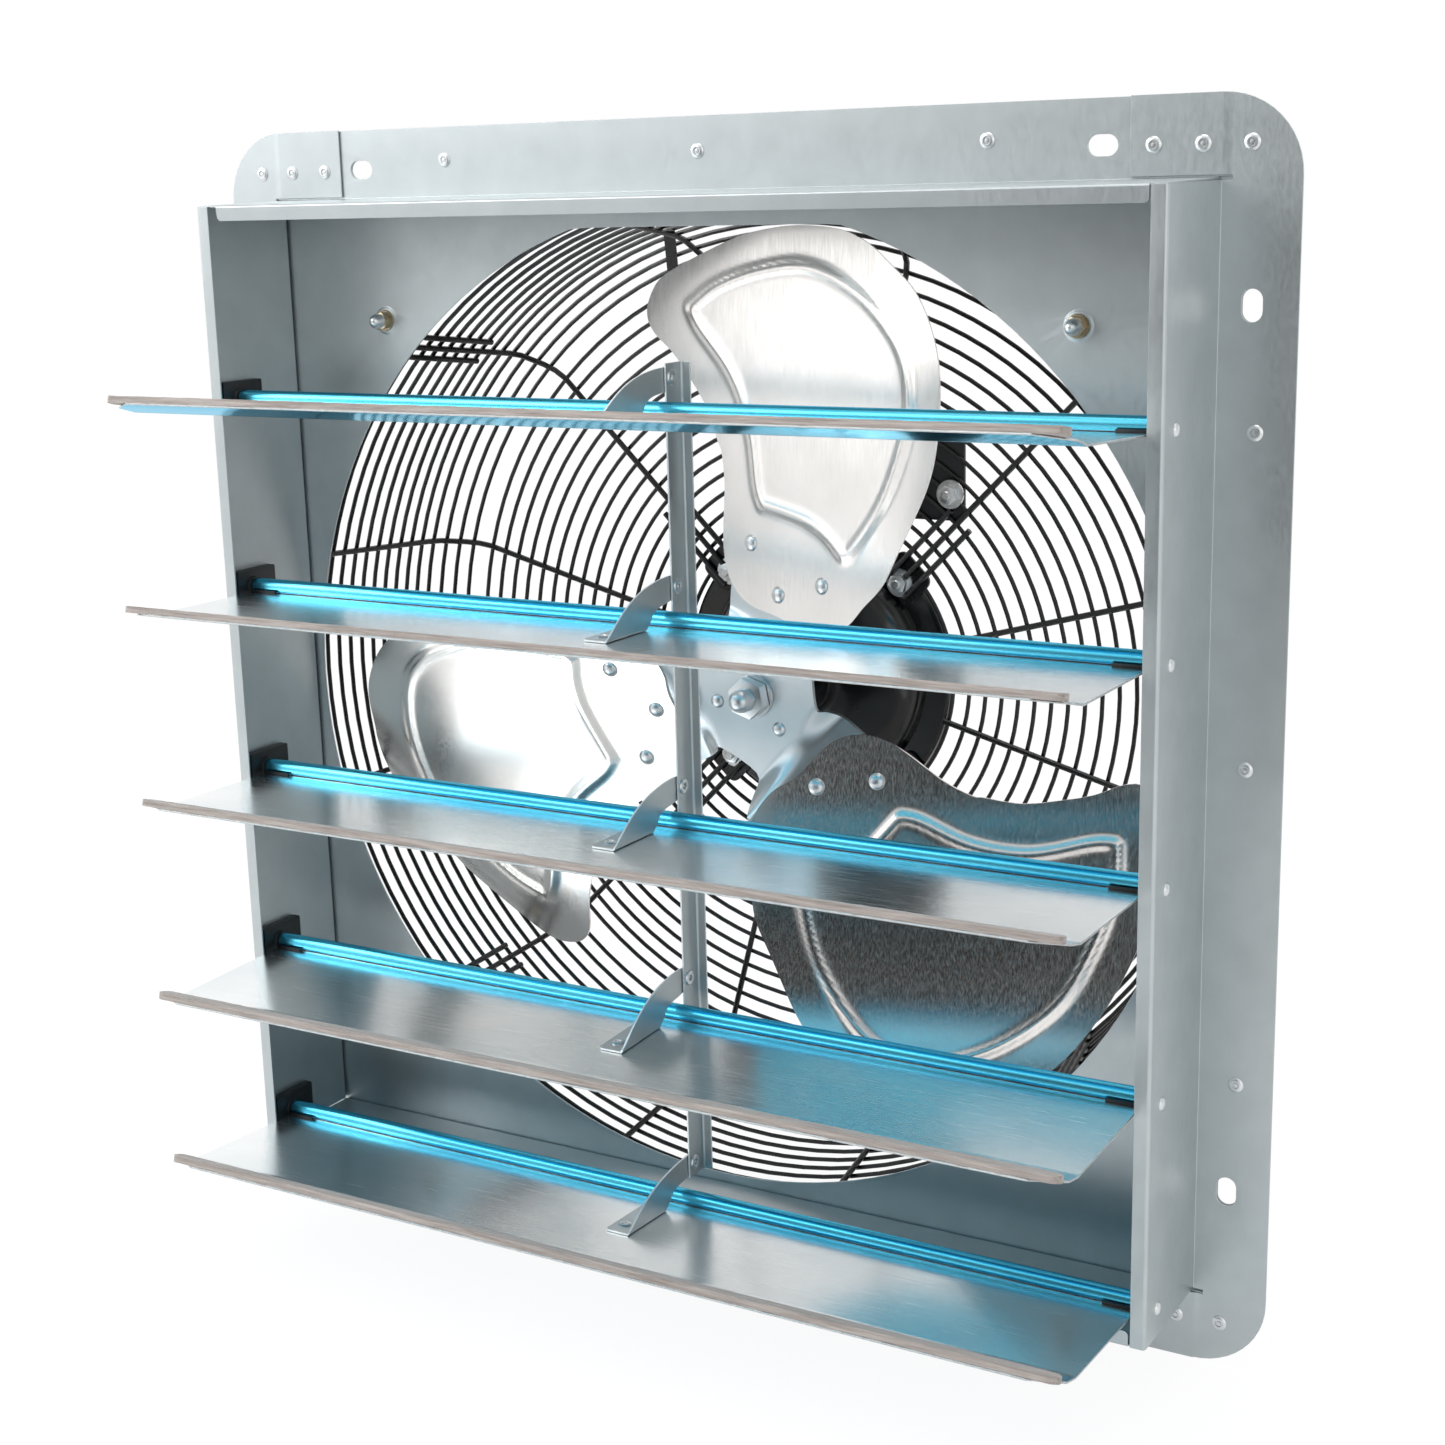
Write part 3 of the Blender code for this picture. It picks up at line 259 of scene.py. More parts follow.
felt, tree, shader = new_finish("grey pressed felt", "#958c88", 0.0, 0.95, Sheen_Weight=0.3,
                                Sheen_Roughness=0.5)
fibres = grain(tree, 1.6, stretch=(25, 1, 1), detail=4, roughness=0.7)
vary(shader, "Base Color", tint(tree, fibres, "#7b726d", "#aea6a1"))
bump(tree, shader, fibres, 0.35)
print(len(bpy.data.materials), "materials in the file")

# %% [markdown]
# ## Helpers for shapes
# Most parts start as a flat outline or a turned profile. These few functions put a finished
# bmesh into the scene, cut flat sheet from an outline, fold it, and spin round fixings.
# Sheet keeps its face side as one layer; a Solidify modifier gives it its thickness, a small
# Bevel breaks its cut edges, and Weighted Normal keeps its flats flat to the eye.

# %% Shape helpers
forward, backward = (0, -1, 0), (0, 1, 0)
round_signs = ((-1, -1), (1, -1), (1, 1), (-1, 1))
sides = (("left", -1), ("right", 1))


def put(name, shape, finishes, body, stands_for=(), sharp=30):
    """Makes a bmesh a piece that rides on a body, and hides the CAD nodes that it stands for."""
    mesh = bpy.data.meshes.new(name)
    shape.to_mesh(mesh)
    shape.free()
    mesh.shade_smooth()
    mesh.set_sharp_from_angle(angle=math.radians(sharp))
    for finish in finishes:
        mesh.materials.append(finish)
    piece = add_object(name, mesh)
    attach(piece, body)
    if stands_for:
        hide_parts(*stands_for)
    return piece


def give_thickness(piece, thickness, edge=0.2 * mm, side=-1, **offsets):
    """Sheet thickness behind the drawn face, broken edges and flat shading."""
    wall = piece.modifiers.new("wall", "SOLIDIFY")
    wall.thickness = thickness
    wall.offset = side
    wall.use_even_offset = True
    wall.use_quality_normals = True
    for name, value in offsets.items():
        setattr(wall, name, value)
    if edge:
        broken = piece.modifiers.new("broken edges", "BEVEL")
        broken.width = edge
        broken.segments = 1
        broken.limit_method = "ANGLE"
        broken.angle_limit = math.radians(50)
    piece.modifiers.new("flat shading", "WEIGHTED_NORMAL").keep_sharp = False
    return piece


def soften(shape, parts, width, segments=1, affect="EDGES"):
    """Rounds edges or corners of a form."""
    bmesh.ops.bevel(shape, geom=parts, offset=width, offset_type="OFFSET", segments=segments, profile=0.5,
                    affect=affect, material=-1)


def draw_outline(shape, corners, rounds, depth, segments=8):
    """Closed line through (x, z) corners at one depth, each corner rounded; gives its edges."""
    before = set(shape.edges)
    points = [shape.verts.new((x, depth, z)) for x, z in corners]
    face = shape.faces.new(points)
    for radius in sorted(set(rounds) - {0}):
        chosen = [p for p, r in zip(points, rounds) if r == radius]
        soften(shape, chosen, radius, segments, "VERTICES")
    drawn = [edge for edge in shape.edges if edge not in before]
    lids = list({f for edge in drawn for f in edge.link_faces})
    bmesh.ops.delete(shape, geom=lids, context="FACES_ONLY")
    return drawn


def draw_slot(shape, x, z, length, width, depth, along_x=True):
    """Outline of a slot with round ends."""
    half = (length / 2, width / 2) if along_x else (width / 2, length / 2)
    corners = [(x + sx * half[0], z + sz * half[1]) for sx, sz in round_signs]
    return draw_outline(shape, corners, [width / 2 - 0.01 * mm] * 4, depth, 6)


def draw_circle(shape, place, radius, segments, turn=None):
    """Circle in the fan's plane, or turned another way; gives its edges."""
    before = set(shape.edges)
    pose = Matrix.Translation(place) @ (turn or turn_by(90, "X"))
    bmesh.ops.create_circle(shape, cap_ends=False, segments=segments, radius=radius, matrix=pose)
    return [edge for edge in shape.edges if edge not in before]


def closed_loop(shape, spots):
    """Closed line of edges through the spots."""
    points = [shape.verts.new(spot) for spot in spots]
    return [shape.edges.new(pair) for pair in zip(points, points[1:] + points[:1])]


def edges_along(shape, axis, least):
    """Edges whose ends are further apart than least along one axis."""
    return [e for e in shape.edges if abs(e.verts[0].co[axis] - e.verts[1].co[axis]) > least]


def faces_in_plane(shape, axis, plane):
    """Faces whose middle lies at one place along an axis."""
    return [f for f in shape.faces if abs(f.calc_center_median()[axis] - plane) < 0.01 * mm]


def parts_of(made, kind):
    """The verts, or the faces, among the parts that an operator made."""
    return [part for part in made["geom"] if isinstance(part, kind)]


def fill(shape, edges, dissolve=False):
    """Fills the outline, leaves its holes open, and gives the faces."""
    made = bmesh.ops.triangle_fill(shape, use_beauty=True, use_dissolve=dissolve, edges=edges)
    return parts_of(made, bmesh.types.BMFace)


def face_towards(shape, direction, faces=None):
    """Turns a sheet so that its drawn side looks along the direction, on the faces named."""
    bmesh.ops.recalc_face_normals(shape, faces=shape.faces[:])
    told = faces or shape.faces
    if sum(f.normal.dot(Vector(direction)) * f.calc_area() for f in told) < 0:
        bmesh.ops.reverse_faces(shape, faces=shape.faces[:])


def newest_edges(parts):
    """Edges whose two ends are both among the parts."""
    verts = {p for p in parts if isinstance(p, bmesh.types.BMVert)}
    return [p for p in parts if isinstance(p, bmesh.types.BMEdge) and set(p.verts) <= verts]


def fold(shape, edges, centre, axis, degrees, steps=4):
    """Bends the sheet on from open edges round a centre; gives the new open edges."""
    geom = list({v for e in edges for v in e.verts}) + list(edges)
    made = bmesh.ops.spin(shape, geom=geom, cent=centre, axis=axis, angle=math.radians(degrees),
                          steps=steps, use_duplicate=False)
    return newest_edges(made["geom_last"])


def run_on(shape, edges, step):
    """Carries the sheet straight on from open edges; gives the new open edges."""
    made = bmesh.ops.extrude_edge_only(shape, edges=edges)
    bmesh.ops.translate(shape, verts=parts_of(made, bmesh.types.BMVert), vec=step)
    return newest_edges(made["geom"])


def grow(shape, faces, step):
    """Extrudes faces along a step into a solid."""
    made = bmesh.ops.extrude_face_region(shape, geom=faces, use_keep_orig=True)
    bmesh.ops.translate(shape, verts=parts_of(made, bmesh.types.BMVert), vec=step)


def block(width, depth, height):
    """Plain block about the origin."""
    shape = bmesh.new()
    bmesh.ops.create_cube(shape, size=1)
    bmesh.ops.scale(shape, vec=(width, depth, height), verts=shape.verts[:])
    return shape


def turned(profile, segments=24):
    """Spins a profile of (outwards, along) in mm about the Z axis into a closed round form."""
    shape = bmesh.new()
    points = [shape.verts.new((out * mm, 0, along * mm)) for out, along in profile]
    line = [shape.edges.new(pair) for pair in zip(points, points[1:])]
    bmesh.ops.spin(shape, geom=points + line, cent=(0, 0, 0), axis=(0, 0, 1), angle=math.tau,
                   steps=segments, use_merge=True)
    bmesh.ops.remove_doubles(shape, verts=shape.verts[:], dist=1e-7)
    bmesh.ops.recalc_face_normals(shape, faces=shape.faces[:])
    return shape


def facing(place, direction, spin_degrees=0):
    """Turns a form that stands on the floor to stand on a surface that looks along direction."""
    turn = Vector(direction).to_track_quat("Z", "Y").to_matrix().to_4x4()
    return Matrix.Translation(place) @ turn @ turn_by(spin_degrees, "Z")


def stamp(shape, form, places, finish=0):
    """Adds a copy of a form at each place, with one of the piece's finishes."""
    for place in places:
        copy = form.copy()
        copy.transform(place)
        for face in copy.faces:
            face.material_index = finish
        carrier = bpy.data.meshes.new("carrier")
        copy.to_mesh(carrier)
        copy.free()
        shape.from_mesh(carrier)
        bpy.data.meshes.remove(carrier)


def nut(flat_half, height, chamfer=0.6 * mm):
    """Hexagon with broken corners that stands on the floor."""
    shape = bmesh.new()
    bmesh.ops.create_circle(shape, cap_ends=True, segments=6, radius=flat_half / math.cos(math.pi / 6))
    grow(shape, shape.faces[:], (0, 0, height))
    rim = [e for e in shape.edges if all(v.co.z > height / 2 for v in e.verts)]
    soften(shape, rim, chamfer, 2)
    soften(shape, edges_along(shape, 2, height / 3), chamfer / 2, 2)
    bmesh.ops.recalc_face_normals(shape, faces=shape.faces[:])
    return shape


print("shape helpers ready")

# %% [markdown]
# ## Rivets
# Two sorts hold this fan together. Blind rivets have a thin domed flange with a hole, in which
# the broken end of the pulling pin still sits. Solid rivets have a plain low dome.
# Each is turned from a profile of five or six points and then stamped wherever one is needed.

# %% Rivet forms
blind_rivet = turned([(0, -0.3), (4.5, -0.3), (4.5, 0.35), (3.87, 0.9), (2.79, 1.25), (2.16, 1.2),
                      (1.89, 0.45), (1.35, 0.45), (1.17, 0.95), (0, 1.1)], 20)
dome_rivet = turned([(0, -0.3), (4.8, -0.3), (4.6, 0.5), (3.9, 1.3), (2.8, 1.9), (1.4, 2.2), (0, 2.3)], 20)
rivet_tail = turned([(0, 0), (3, 0), (3.3, 1.2), (3, 2.6), (1.8, 3.4), (0, 3.5)], 14)
eyelet = turned([(1.7, -0.2), (4.8, -0.2), (4.8, 0.3), (4.2, 0.9), (2.9, 1.1), (1.9, 0.8), (1.7, 0.2),
                 (1.7, -0.2)], 20)
print("blind rivet", len(blind_rivet.faces), "faces; dome rivet", len(dome_rivet.faces), "faces")

# %% [markdown]
# ## The folded box
# Each wall of the box is one sheet: a flange that lies on the wall, a bend, the web that goes
# forwards, and a narrow lip that stiffens the front edge. A press brake folds it, so this cell
# does the same: cut the flange flat with its slots, then fold, run on, fold and run on.
# The side sheets have tabs that reach over the top and bottom flanges, with a scored line
# where the tab was set over by one sheet's thickness.

# %% Sizes of the walls
sheet = 1.2 * mm
half_box = 317 * mm
half_flange = 360 * mm
box_depth = 83 * mm
tab_end = 267 * mm
tab_foot = 318.2 * mm
tab_rise = 0.6 * mm
fold_end = 315.5 * mm
relief_end = 322.8 * mm
flange_round = 43 * mm
score_out = 2.2 * mm
inner_bend = 0.4 * mm
outer_bend = 2 * mm
side_lip_inner = 308 * mm
front_top = 314.5 * mm
front_bottom = -315.8 * mm
slot_length = 17.5 * mm
slot_width = 11.5 * mm
slot_along = 251 * mm
slot_out = 335 * mm
start = half_box + inner_bend


def cut_along(shape, place, direction, **settings):
    """Scores the sheet along a plane, or cuts it off there."""
    bmesh.ops.bisect_plane(shape, geom=shape.verts[:] + shape.edges[:] + shape.faces[:], dist=1e-7,
                           plane_co=place, plane_no=direction, **settings)


def finish_wall(shape, name, stands_for, plane):
    """Turns a folded wall's drawn side to the front and gives it the sheet's thickness."""
    face_towards(shape, forward, faces_in_plane(shape, 1, plane))
    low = min(v.co.y for v in shape.verts)
    print(name, len(shape.faces), "faces, front at", round(low / mm, 2), "mm")
    give_thickness(put(name, shape, [galvanised], "housing", [stands_for], 40), sheet)


# %% Side walls
def side_wall(name, stands_for, side):
    """One side of the box, drawn at the right and mirrored for the left."""
    shape = bmesh.new()
    corners = [(start, -fold_end), (relief_end, -fold_end), (relief_end, -tab_foot), (tab_end, -tab_foot),
               (tab_end, -half_flange), (half_flange, -half_flange), (half_flange, half_flange),
               (tab_end, half_flange), (tab_end, tab_foot), (relief_end, tab_foot), (relief_end, fold_end),
               (start, fold_end)]
    rounds = [0] * 5 + [flange_round] * 2 + [0] * 5
    edges = draw_outline(shape, corners, rounds, 0, 12)
    for z in (-slot_along, slot_along):
        edges += draw_slot(shape, slot_out, z, slot_length, slot_width, 0, along_x=False)
    fill(shape, edges)
    for x in (start, half_box + score_out):
        cut_along(shape, (x, 0, 0), (1, 0, 0))
    for vert in shape.verts:
        if vert.co.x < start + 0.1 * mm and abs(vert.co.z) > tab_foot - 0.1 * mm:
            vert.co.y = -tab_rise
    line = [e for e in shape.edges if all(abs(v.co.x - start) < 1e-6 for v in e.verts)
            and all(abs(v.co.z) < fold_end + 1e-6 for v in e.verts)]
    line = fold(shape, line, (start, -inner_bend, 0), (0, 0, 1), 90)
    line = run_on(shape, line, (0, -(box_depth - inner_bend - outer_bend), 0))
    for vert in {v for e in line for v in e.verts}:
        if abs(vert.co.z) > fold_end - 0.1 * mm:
            vert.co.z = front_top if vert.co.z > 0 else front_bottom
    line = fold(shape, line, (half_box - outer_bend, -(box_depth - outer_bend), 0), (0, 0, 1), -90)
    run_on(shape, line, (side_lip_inner - half_box + outer_bend, 0, 0))
    bmesh.ops.scale(shape, vec=(side, 1, 1), verts=shape.verts[:])
    finish_wall(shape, name, stands_for, 0)


for word, side in sides:
    side_wall("side_wall_" + word, "side_panel_" + word, side)

# %% [markdown]
# The top and bottom sheets lie one thickness behind the side tabs, so that four flat faces meet
# round the wall opening. Their lips stop just short of the side lips, which leaves the dark
# slit that the photograph shows at each front corner.

# %% Top and bottom walls
cap_plane = 0.9 * mm
cap_half = 345 * mm
cap_flange = 359.6 * mm
cap_round = 37 * mm
cap_web_half = 315.5 * mm
cap_lip_height = 9.5 * mm
cap_lip_lean = {1: 0.8 * mm, -1: 0}
cap_bend = 1.5 * mm
cap_notch = box_depth - cap_bend
lip_round = 3 * mm
web_fall = {1: 2.0 * mm, -1: 1.2 * mm}
cap_lip_ends = {1: (-301 * mm, 307 * mm), -1: (-306.5 * mm, 307 * mm)}


def cap_wall(name, stands_for, side):
    """The top of the box, or the bottom as its mirror image."""
    shape = bmesh.new()
    left, right = cap_lip_ends[side]
    corners = [(-cap_half, start), (-cap_web_half, start), (left, start), (right, start),
               (cap_web_half, start), (cap_half, start), (cap_half, cap_flange), (-cap_half, cap_flange)]
    edges = draw_outline(shape, corners, [0] * 6 + [cap_round] * 2, cap_plane, 12)
    for x in (-slot_along, slot_along):
        edges += draw_slot(shape, x, slot_out, slot_length, slot_width, cap_plane)
    fill(shape, edges)
    line = [e for e in shape.edges if all(abs(v.co.z - start) < 1e-6 for v in e.verts)
            and all(abs(v.co.x) < cap_web_half + 1e-6 for v in e.verts)]
    line = fold(shape, line, (0, cap_plane - inner_bend, start), (1, 0, 0), -90)
    line = run_on(shape, line, (0, -(cap_notch + cap_plane - inner_bend), -web_fall[side]))
    line = [e for e in line if all(left - 1e-6 < v.co.x < right + 1e-6 for v in e.verts)]
    line = fold(shape, line, (0, -cap_notch, half_box - web_fall[side] - cap_bend), (1, 0, 0), 90)
    line = run_on(shape, line, (0, cap_lip_lean[side], -(cap_lip_height - cap_bend)))
    ends = [v for e in line for v in e.verts if v.co.x < left + 1e-6 or v.co.x > right - 1e-6]
    soften(shape, ends, lip_round, 4, "VERTICES")
    bmesh.ops.scale(shape, vec=(1, 1, side), verts=shape.verts[:])
    finish_wall(shape, name, stands_for, cap_plane)


for side, word in ((-1, "bottom"), (1, "top")):
    cap_wall(word + "_wall", word + "_panel", side)

# %% [markdown]
# ## Back panel
# A flat square sheet behind the flanges closes the box round the fan. Its opening is cut a
# little larger than the blades' circle and ends in a flat at the top, where a narrow strip of
# sheet is left above it. Each corner is dimpled where a stud of the guard comes through, which
# stiffens the thin sheet there.

# %% Back panel
panel_front = 2.3 * mm
panel_half = 352 * mm
panel_round = 36 * mm
opening_radius = 310 * mm
opening_top = 296.4 * mm
stud_places = [Vector((sx * 238.5 * mm, 0, sz * 239.6 * mm)) for sx in (-1, 1) for sz in (-1, 1)]
dimple_radius = 9.6 * mm
dimple_rise = 1.6 * mm
dimple_steps = (1.4 * mm, 1.2 * mm)

shape = bmesh.new()
square = [(sx * panel_half, sz * panel_half) for sx, sz in round_signs]
edges = draw_outline(shape, square, [panel_round] * 4, panel_front, 10)
opening = draw_circle(shape, (0, panel_front, 0), opening_radius, 144)
for vert in {v for e in opening for v in e.verts}:
    vert.co.z = min(vert.co.z, opening_top)
edges += opening
for along in (-slot_along, slot_along):
    for out in (-slot_out, slot_out):
        edges += draw_slot(shape, along, out, slot_length, slot_width, panel_front)
        edges += draw_slot(shape, out, along, slot_length, slot_width, panel_front, along_x=False)
dimples = []
for place in stud_places:
    ring = draw_circle(shape, place + Vector((0, panel_front, 0)), dimple_radius, 24)
    edges += ring
    dimples.append(ring)
fill(shape, edges)
for ring in dimples:
    lid = fill(shape, ring, dissolve=True)
    for width in dimple_steps:
        bmesh.ops.inset_region(shape, faces=lid, thickness=width, use_even_offset=True)
        raised = list({v for f in lid for v in f.verts})
        bmesh.ops.translate(shape, verts=raised, vec=(0, -dimple_rise / len(dimple_steps), 0))
flats = [f for f in shape.faces if f.calc_area() > 1e-4]
face_towards(shape, forward, flats)
print("back panel", len(shape.faces), "faces")
give_thickness(put("back_panel", shape, [galvanised], "housing", ["venturi_panel"], 50), sheet)

# %% [markdown]
# Rivets join the flanges to the back panel, three to each corner tab and three along each side,
# and one holds each pivot block from outside. All are stamped into one piece.

# %% Box rivets
tab_rivets = [280 * mm, 307 * mm, 333 * mm]
tab_row = 334.3 * mm
flange_rivets = [-184.5 * mm, 0, 184.5 * mm]
side_row = 338.7 * mm
cap_row = 339.5 * mm
louvre_heights = [(194.0 - 122.65 * row) * mm for row in range(5)]
pivot_line = -63.5 * mm
pin_drop = 2 * mm
pin_head = 0.85
shape = bmesh.new()
fronts = [(sx * x, -tab_rise if x < half_box else 0, sz * tab_row)
          for sx in (-1, 1) for sz in (-1, 1) for x in tab_rivets]
fronts += [(sx * side_row, 0, z) for sx in (-1, 1) for z in flange_rivets]
fronts += [(x, cap_plane, sz * cap_row) for sz in (-1, 1) for x in flange_rivets]
stamp(shape, blind_rivet, [facing(place, forward, 17 * i) for i, place in enumerate(fronts)])
stamp(shape, rivet_tail, [facing((x, panel_front + sheet, z), backward) for x, y, z in fronts])
pins = [(sx * half_box, pivot_line, z - pin_drop) for sx in (-1, 1) for z in louvre_heights]
stamp(shape, dome_rivet, [facing(place, (place[0], 0, 0)) @ Matrix.Scale(pin_head, 4) for place in pins])
print(len(fronts) + len(pins), "rivets on the box,", len(shape.faces), "faces")
put("box_rivets", shape, [zinc], "housing")

# %% [markdown]
# ## Guard studs
# Each corner of the guard bolts to the back panel with a weld stud, a hexagon nut and a dome
# nut in front, and a plain hexagon behind the wire foot.

# %% Guard studs
wire_back = 9.6 * mm
washer_height = 1.2 * mm
cap_rise = 6.2 * mm
stud_nut_half = 5.2 * mm
stud_nut_height = 5.2 * mm
hexagon = nut(stud_nut_half, stud_nut_height)
thin_washer = turned([(0, 0), (6.6, 0), (6.8, 0.4), (6.6, 1.1), (0, 1.2)])
stud_cap = turned([(0, 0), (4.6, 0), (4.8, 1.2), (4.6, 3.4), (3.9, 5.6), (2.6, 7.2), (1.2, 7.9), (0, 8)], 20)
dimple_top = panel_front - dimple_rise
for number, place in enumerate(stud_places, 1):
    shape = bmesh.new()
    for form, depth, way, spin, finish in (
            (thin_washer, dimple_top, forward, 0, 0),
            (hexagon, dimple_top - washer_height, forward, 20, 0),
            (stud_cap, dimple_top - cap_rise, forward, 0, 1),
            (thin_washer, wire_back, backward, 0, 0),
            (hexagon, wire_back + washer_height, backward, 15, 0)):
        stamp(shape, form, [facing(place + Vector((0, depth, 0)), way, spin * number)], finish)
    put(f"stud_fixing_{number}", shape, [yellow_zinc, zinc], "housing", [f"guard_stud_{number}"],
        35)
print("4 guard studs on a dimple top at", round(dimple_top / mm, 1), "mm")

# %% [markdown]
# ## Wire guard
# The guard is a basket of round steel wire: rings, and twelve ribs that run from the foot up
# the wall, round the shoulder and in to the motor. The ribs lie inside the rings and are
# spot-welded to each. Every fourth rib, on the diagonals, has two side wires at each end: one
# pair holds the motor's tab, the other loops round a stud. A curve with a round bevel is the
# natural form for wire: all wires become splines of one curve, which is then made a mesh.

# %% Wire helper
def wires(name, runs):
    """Round wires in one mesh. A run is its points, its radius, and whether it closes on itself."""
    curve = bpy.data.curves.new(name, "CURVE")
    curve.dimensions = "3D"
    curve.bevel_depth = 1.0
    curve.bevel_resolution = 2
    curve.use_fill_caps = True
    for points, radius, closed in runs:
        spline = curve.splines.new("POLY")
        spline.points.add(len(points) - 1)
        for target, point in zip(spline.points, points):
            target.co = (*point, 1)
            target.radius = radius
        spline.use_cyclic_u = closed
    holder = add_object(name, curve)
    mesh = bpy.data.meshes.new_from_object(holder.evaluated_get(bpy.context.evaluated_depsgraph_get()))
    bpy.data.objects.remove(holder)
    shape = bmesh.new()
    shape.from_mesh(mesh)
    bpy.data.meshes.remove(mesh)
    bmesh.ops.recalc_face_normals(shape, faces=shape.faces[:])
    return shape


def at_angle(radius, degrees, depth, across=0.0):
    """Point at a radius and an angle in the fan's plane, moved sideways by across."""
    a = math.radians(degrees)
    return (radius * math.cos(a) - across * math.sin(a), depth, radius * math.sin(a) + across * math.cos(a))


def along_wall(distance):
    """Radius and depth on the basket's wall at a distance from its foot."""
    for (r0, y0), (r1, y1) in zip(wall_line, wall_line[1:]):
        length = math.hypot(r1 - r0, y1 - y0)
        if distance <= length:
            share = distance / length
            return r0 + (r1 - r0) * share, y0 + (y1 - y0) * share
        distance -= length
    return wall_line[-1]


# %% Wire guard
ring_wire = 1.5 * mm
rib_wire = 2.0 * mm
rib_inset = ring_wire + rib_wire - 0.3 * mm
face_plane = 141.0 * mm
wall_line = [(317.8 * mm, 6.0 * mm), (302.6 * mm, 100 * mm), (299.4 * mm, 111 * mm), (288 * mm, 129 * mm),
             (282 * mm, 136 * mm), (273 * mm, 140.4 * mm), (266 * mm, face_plane)]
wall_length = sum(math.dist(a, b) for a, b in zip(wall_line, wall_line[1:]))
face_pitch = 11.4 * mm
widest_ring = 272 * mm
face_rings = [widest_ring - face_pitch * i for i in range(16)]
wall_pitch = 10.5 * mm
second_ring = 8.1 * mm
wall_rings = [along_wall(0)] + [along_wall(second_ring + wall_pitch * i) for i in range(13)]
ring_points = 96
runs = []
for radius, depth in [(r, face_plane) for r in face_rings] + wall_rings:
    circle = [at_angle(radius, 360 * i / ring_points, depth) for i in range(ring_points)]
    runs.append((circle, ring_wire, True))

rib_line = [(317.8 * mm - rib_inset, 5.9 * mm)]
rib_line += [(r - rib_inset * 0.97, y - rib_inset * 0.18) for r, y in wall_line[1:3]]
rib_line += [(286 * mm, 127 * mm), (279.5 * mm, 134.0 * mm), (271.5 * mm, 137.7 * mm)]
rib_depth = face_plane - rib_inset
rib_end = 99 * mm
tab_rib_end = 86 * mm
for degrees in range(15, 375, 30):
    points = [at_angle(r, degrees, y) for r, y in rib_line]
    last = tab_rib_end if degrees % 90 == 45 else rib_end
    points += [at_angle(264 * mm, degrees, rib_depth), at_angle(last, degrees, rib_depth)]
    runs.append((points, rib_wire, False))
print(len(face_rings), "face rings,", len(wall_rings), "wall rings, wall", round(wall_length / mm), "mm long")

# %% [markdown]
# On the diagonals the two side wires start by the motor tab. Down at the foot another pair
# leaves the wall, runs out over the back panel and closes in a loop round the stud.

# %% Guard feet and motor tabs
side_step = 9 * mm
side_wire_end = 152 * mm
climb_spots = (70 * mm, 30 * mm, 6 * mm)
foot_plane = 6.9 * mm
foot_spots = (318 * mm, 326 * mm)
loop_centre = 337.5 * mm
loop_radius = 10 * mm
diagonals = range(45, 405, 90)
for degrees in diagonals:
    eye_loop = []
    for across in (-side_step, side_step):
        near = [at_angle(r, degrees, rib_depth, across) for r in (tab_rib_end, side_wire_end)]
        runs.append((near, rib_wire, False))
        climb = [at_angle(along_wall(s)[0] - rib_inset, degrees, along_wall(s)[1], across)
                 for s in climb_spots]
        climb += [at_angle(r, degrees, foot_plane, across) for r in foot_spots]
        eye_loop.append(climb)
    bend = [at_angle(loop_centre + loop_radius * math.cos(math.radians(a)), degrees, foot_plane,
                     loop_radius * math.sin(math.radians(a))) for a in range(-72, 73, 18)]
    runs.append((eye_loop[0] + bend + eye_loop[1][::-1], rib_wire, False))
shape = wires("guard_wires", runs)

tab_length, tab_width, tab_sheet = 26 * mm, 30 * mm, 2.4 * mm
tab_round = 6 * mm
tab = block(tab_length, tab_width, tab_sheet)
soften(tab, edges_along(tab, 2, tab_sheet / 2), tab_round, 5)
soften(tab, tab.edges[:], 0.4 * mm)
tab_out = 95 * mm
tab_plane = face_plane - 0.4 * mm
for degrees in diagonals:
    centre = at_angle(tab_out, degrees, tab_plane)
    stamp(shape, tab, [Matrix.Translation(centre) @ turn_by(-degrees, "Y") @ turn_by(90, "X")])

# A flat black strap lies against the rings at the top, a little left of the middle.
strap_width, strap_sheet, strap_length = 7.5 * mm, 1.4 * mm, 56 * mm
strap = block(strap_width, strap_sheet, strap_length)
strap_top = Vector((-78, 95, 292)) * mm
strap_foot = Vector((-100, 135, 262)) * mm
stamp(shape, strap, [facing((strap_top + strap_foot) / 2, strap_foot - strap_top)])
print("wire guard", len(shape.faces), "faces")
put("wire_guard", shape, [black_wire], "housing", ["guard_side", "guard_face"], 40)

# %% [markdown]
# ## Motor
# An outer-rotor motor would turn with its can, but this one is a still can with a bell towards
# the fan. Its shell is spun and pressed aluminium, so it is turned here from one profile, with
# soft edges at every step. The rear cap is a separate pressing held by four screws.

# %% Motor
motor_front = 142.4 * mm
motor_profile = [(0, 190), (8, 190), (8, 198.6), (60, 198.6), (61, 200.2), (64, 200.2),
                 (68, 199.4), (72.7, 196.9), (77, 192.5), (79.3, 187.5), (80, 182.4), (80, 153.4),
                 (80.6, 152), (82, 151.4), (96.4, 151.4), (97.9, 150.8), (98.5, 149.4), (98.5, 145),
                 (97.9, 143.2), (96.3, 142.6), (94.5, 142.4), (81, 142.4), (80.4, 141.6), (78.8, 137),
                 (75, 131.5), (68, 127.4), (56, 124.4), (40, 122.8), (29, 122.4), (27, 121.4),
                 (26, 119.4), (25.6, 113), (24.4, 111), (22, 110.4), (9, 110.4), (8.2, 111.4),
                 (8.2, 120), (0, 120)]
along_depth = turn_by(-90, "X")
shape = bmesh.new()
stamp(shape, turned(motor_profile, 96), [along_depth])
print("motor", len(shape.faces), "faces")
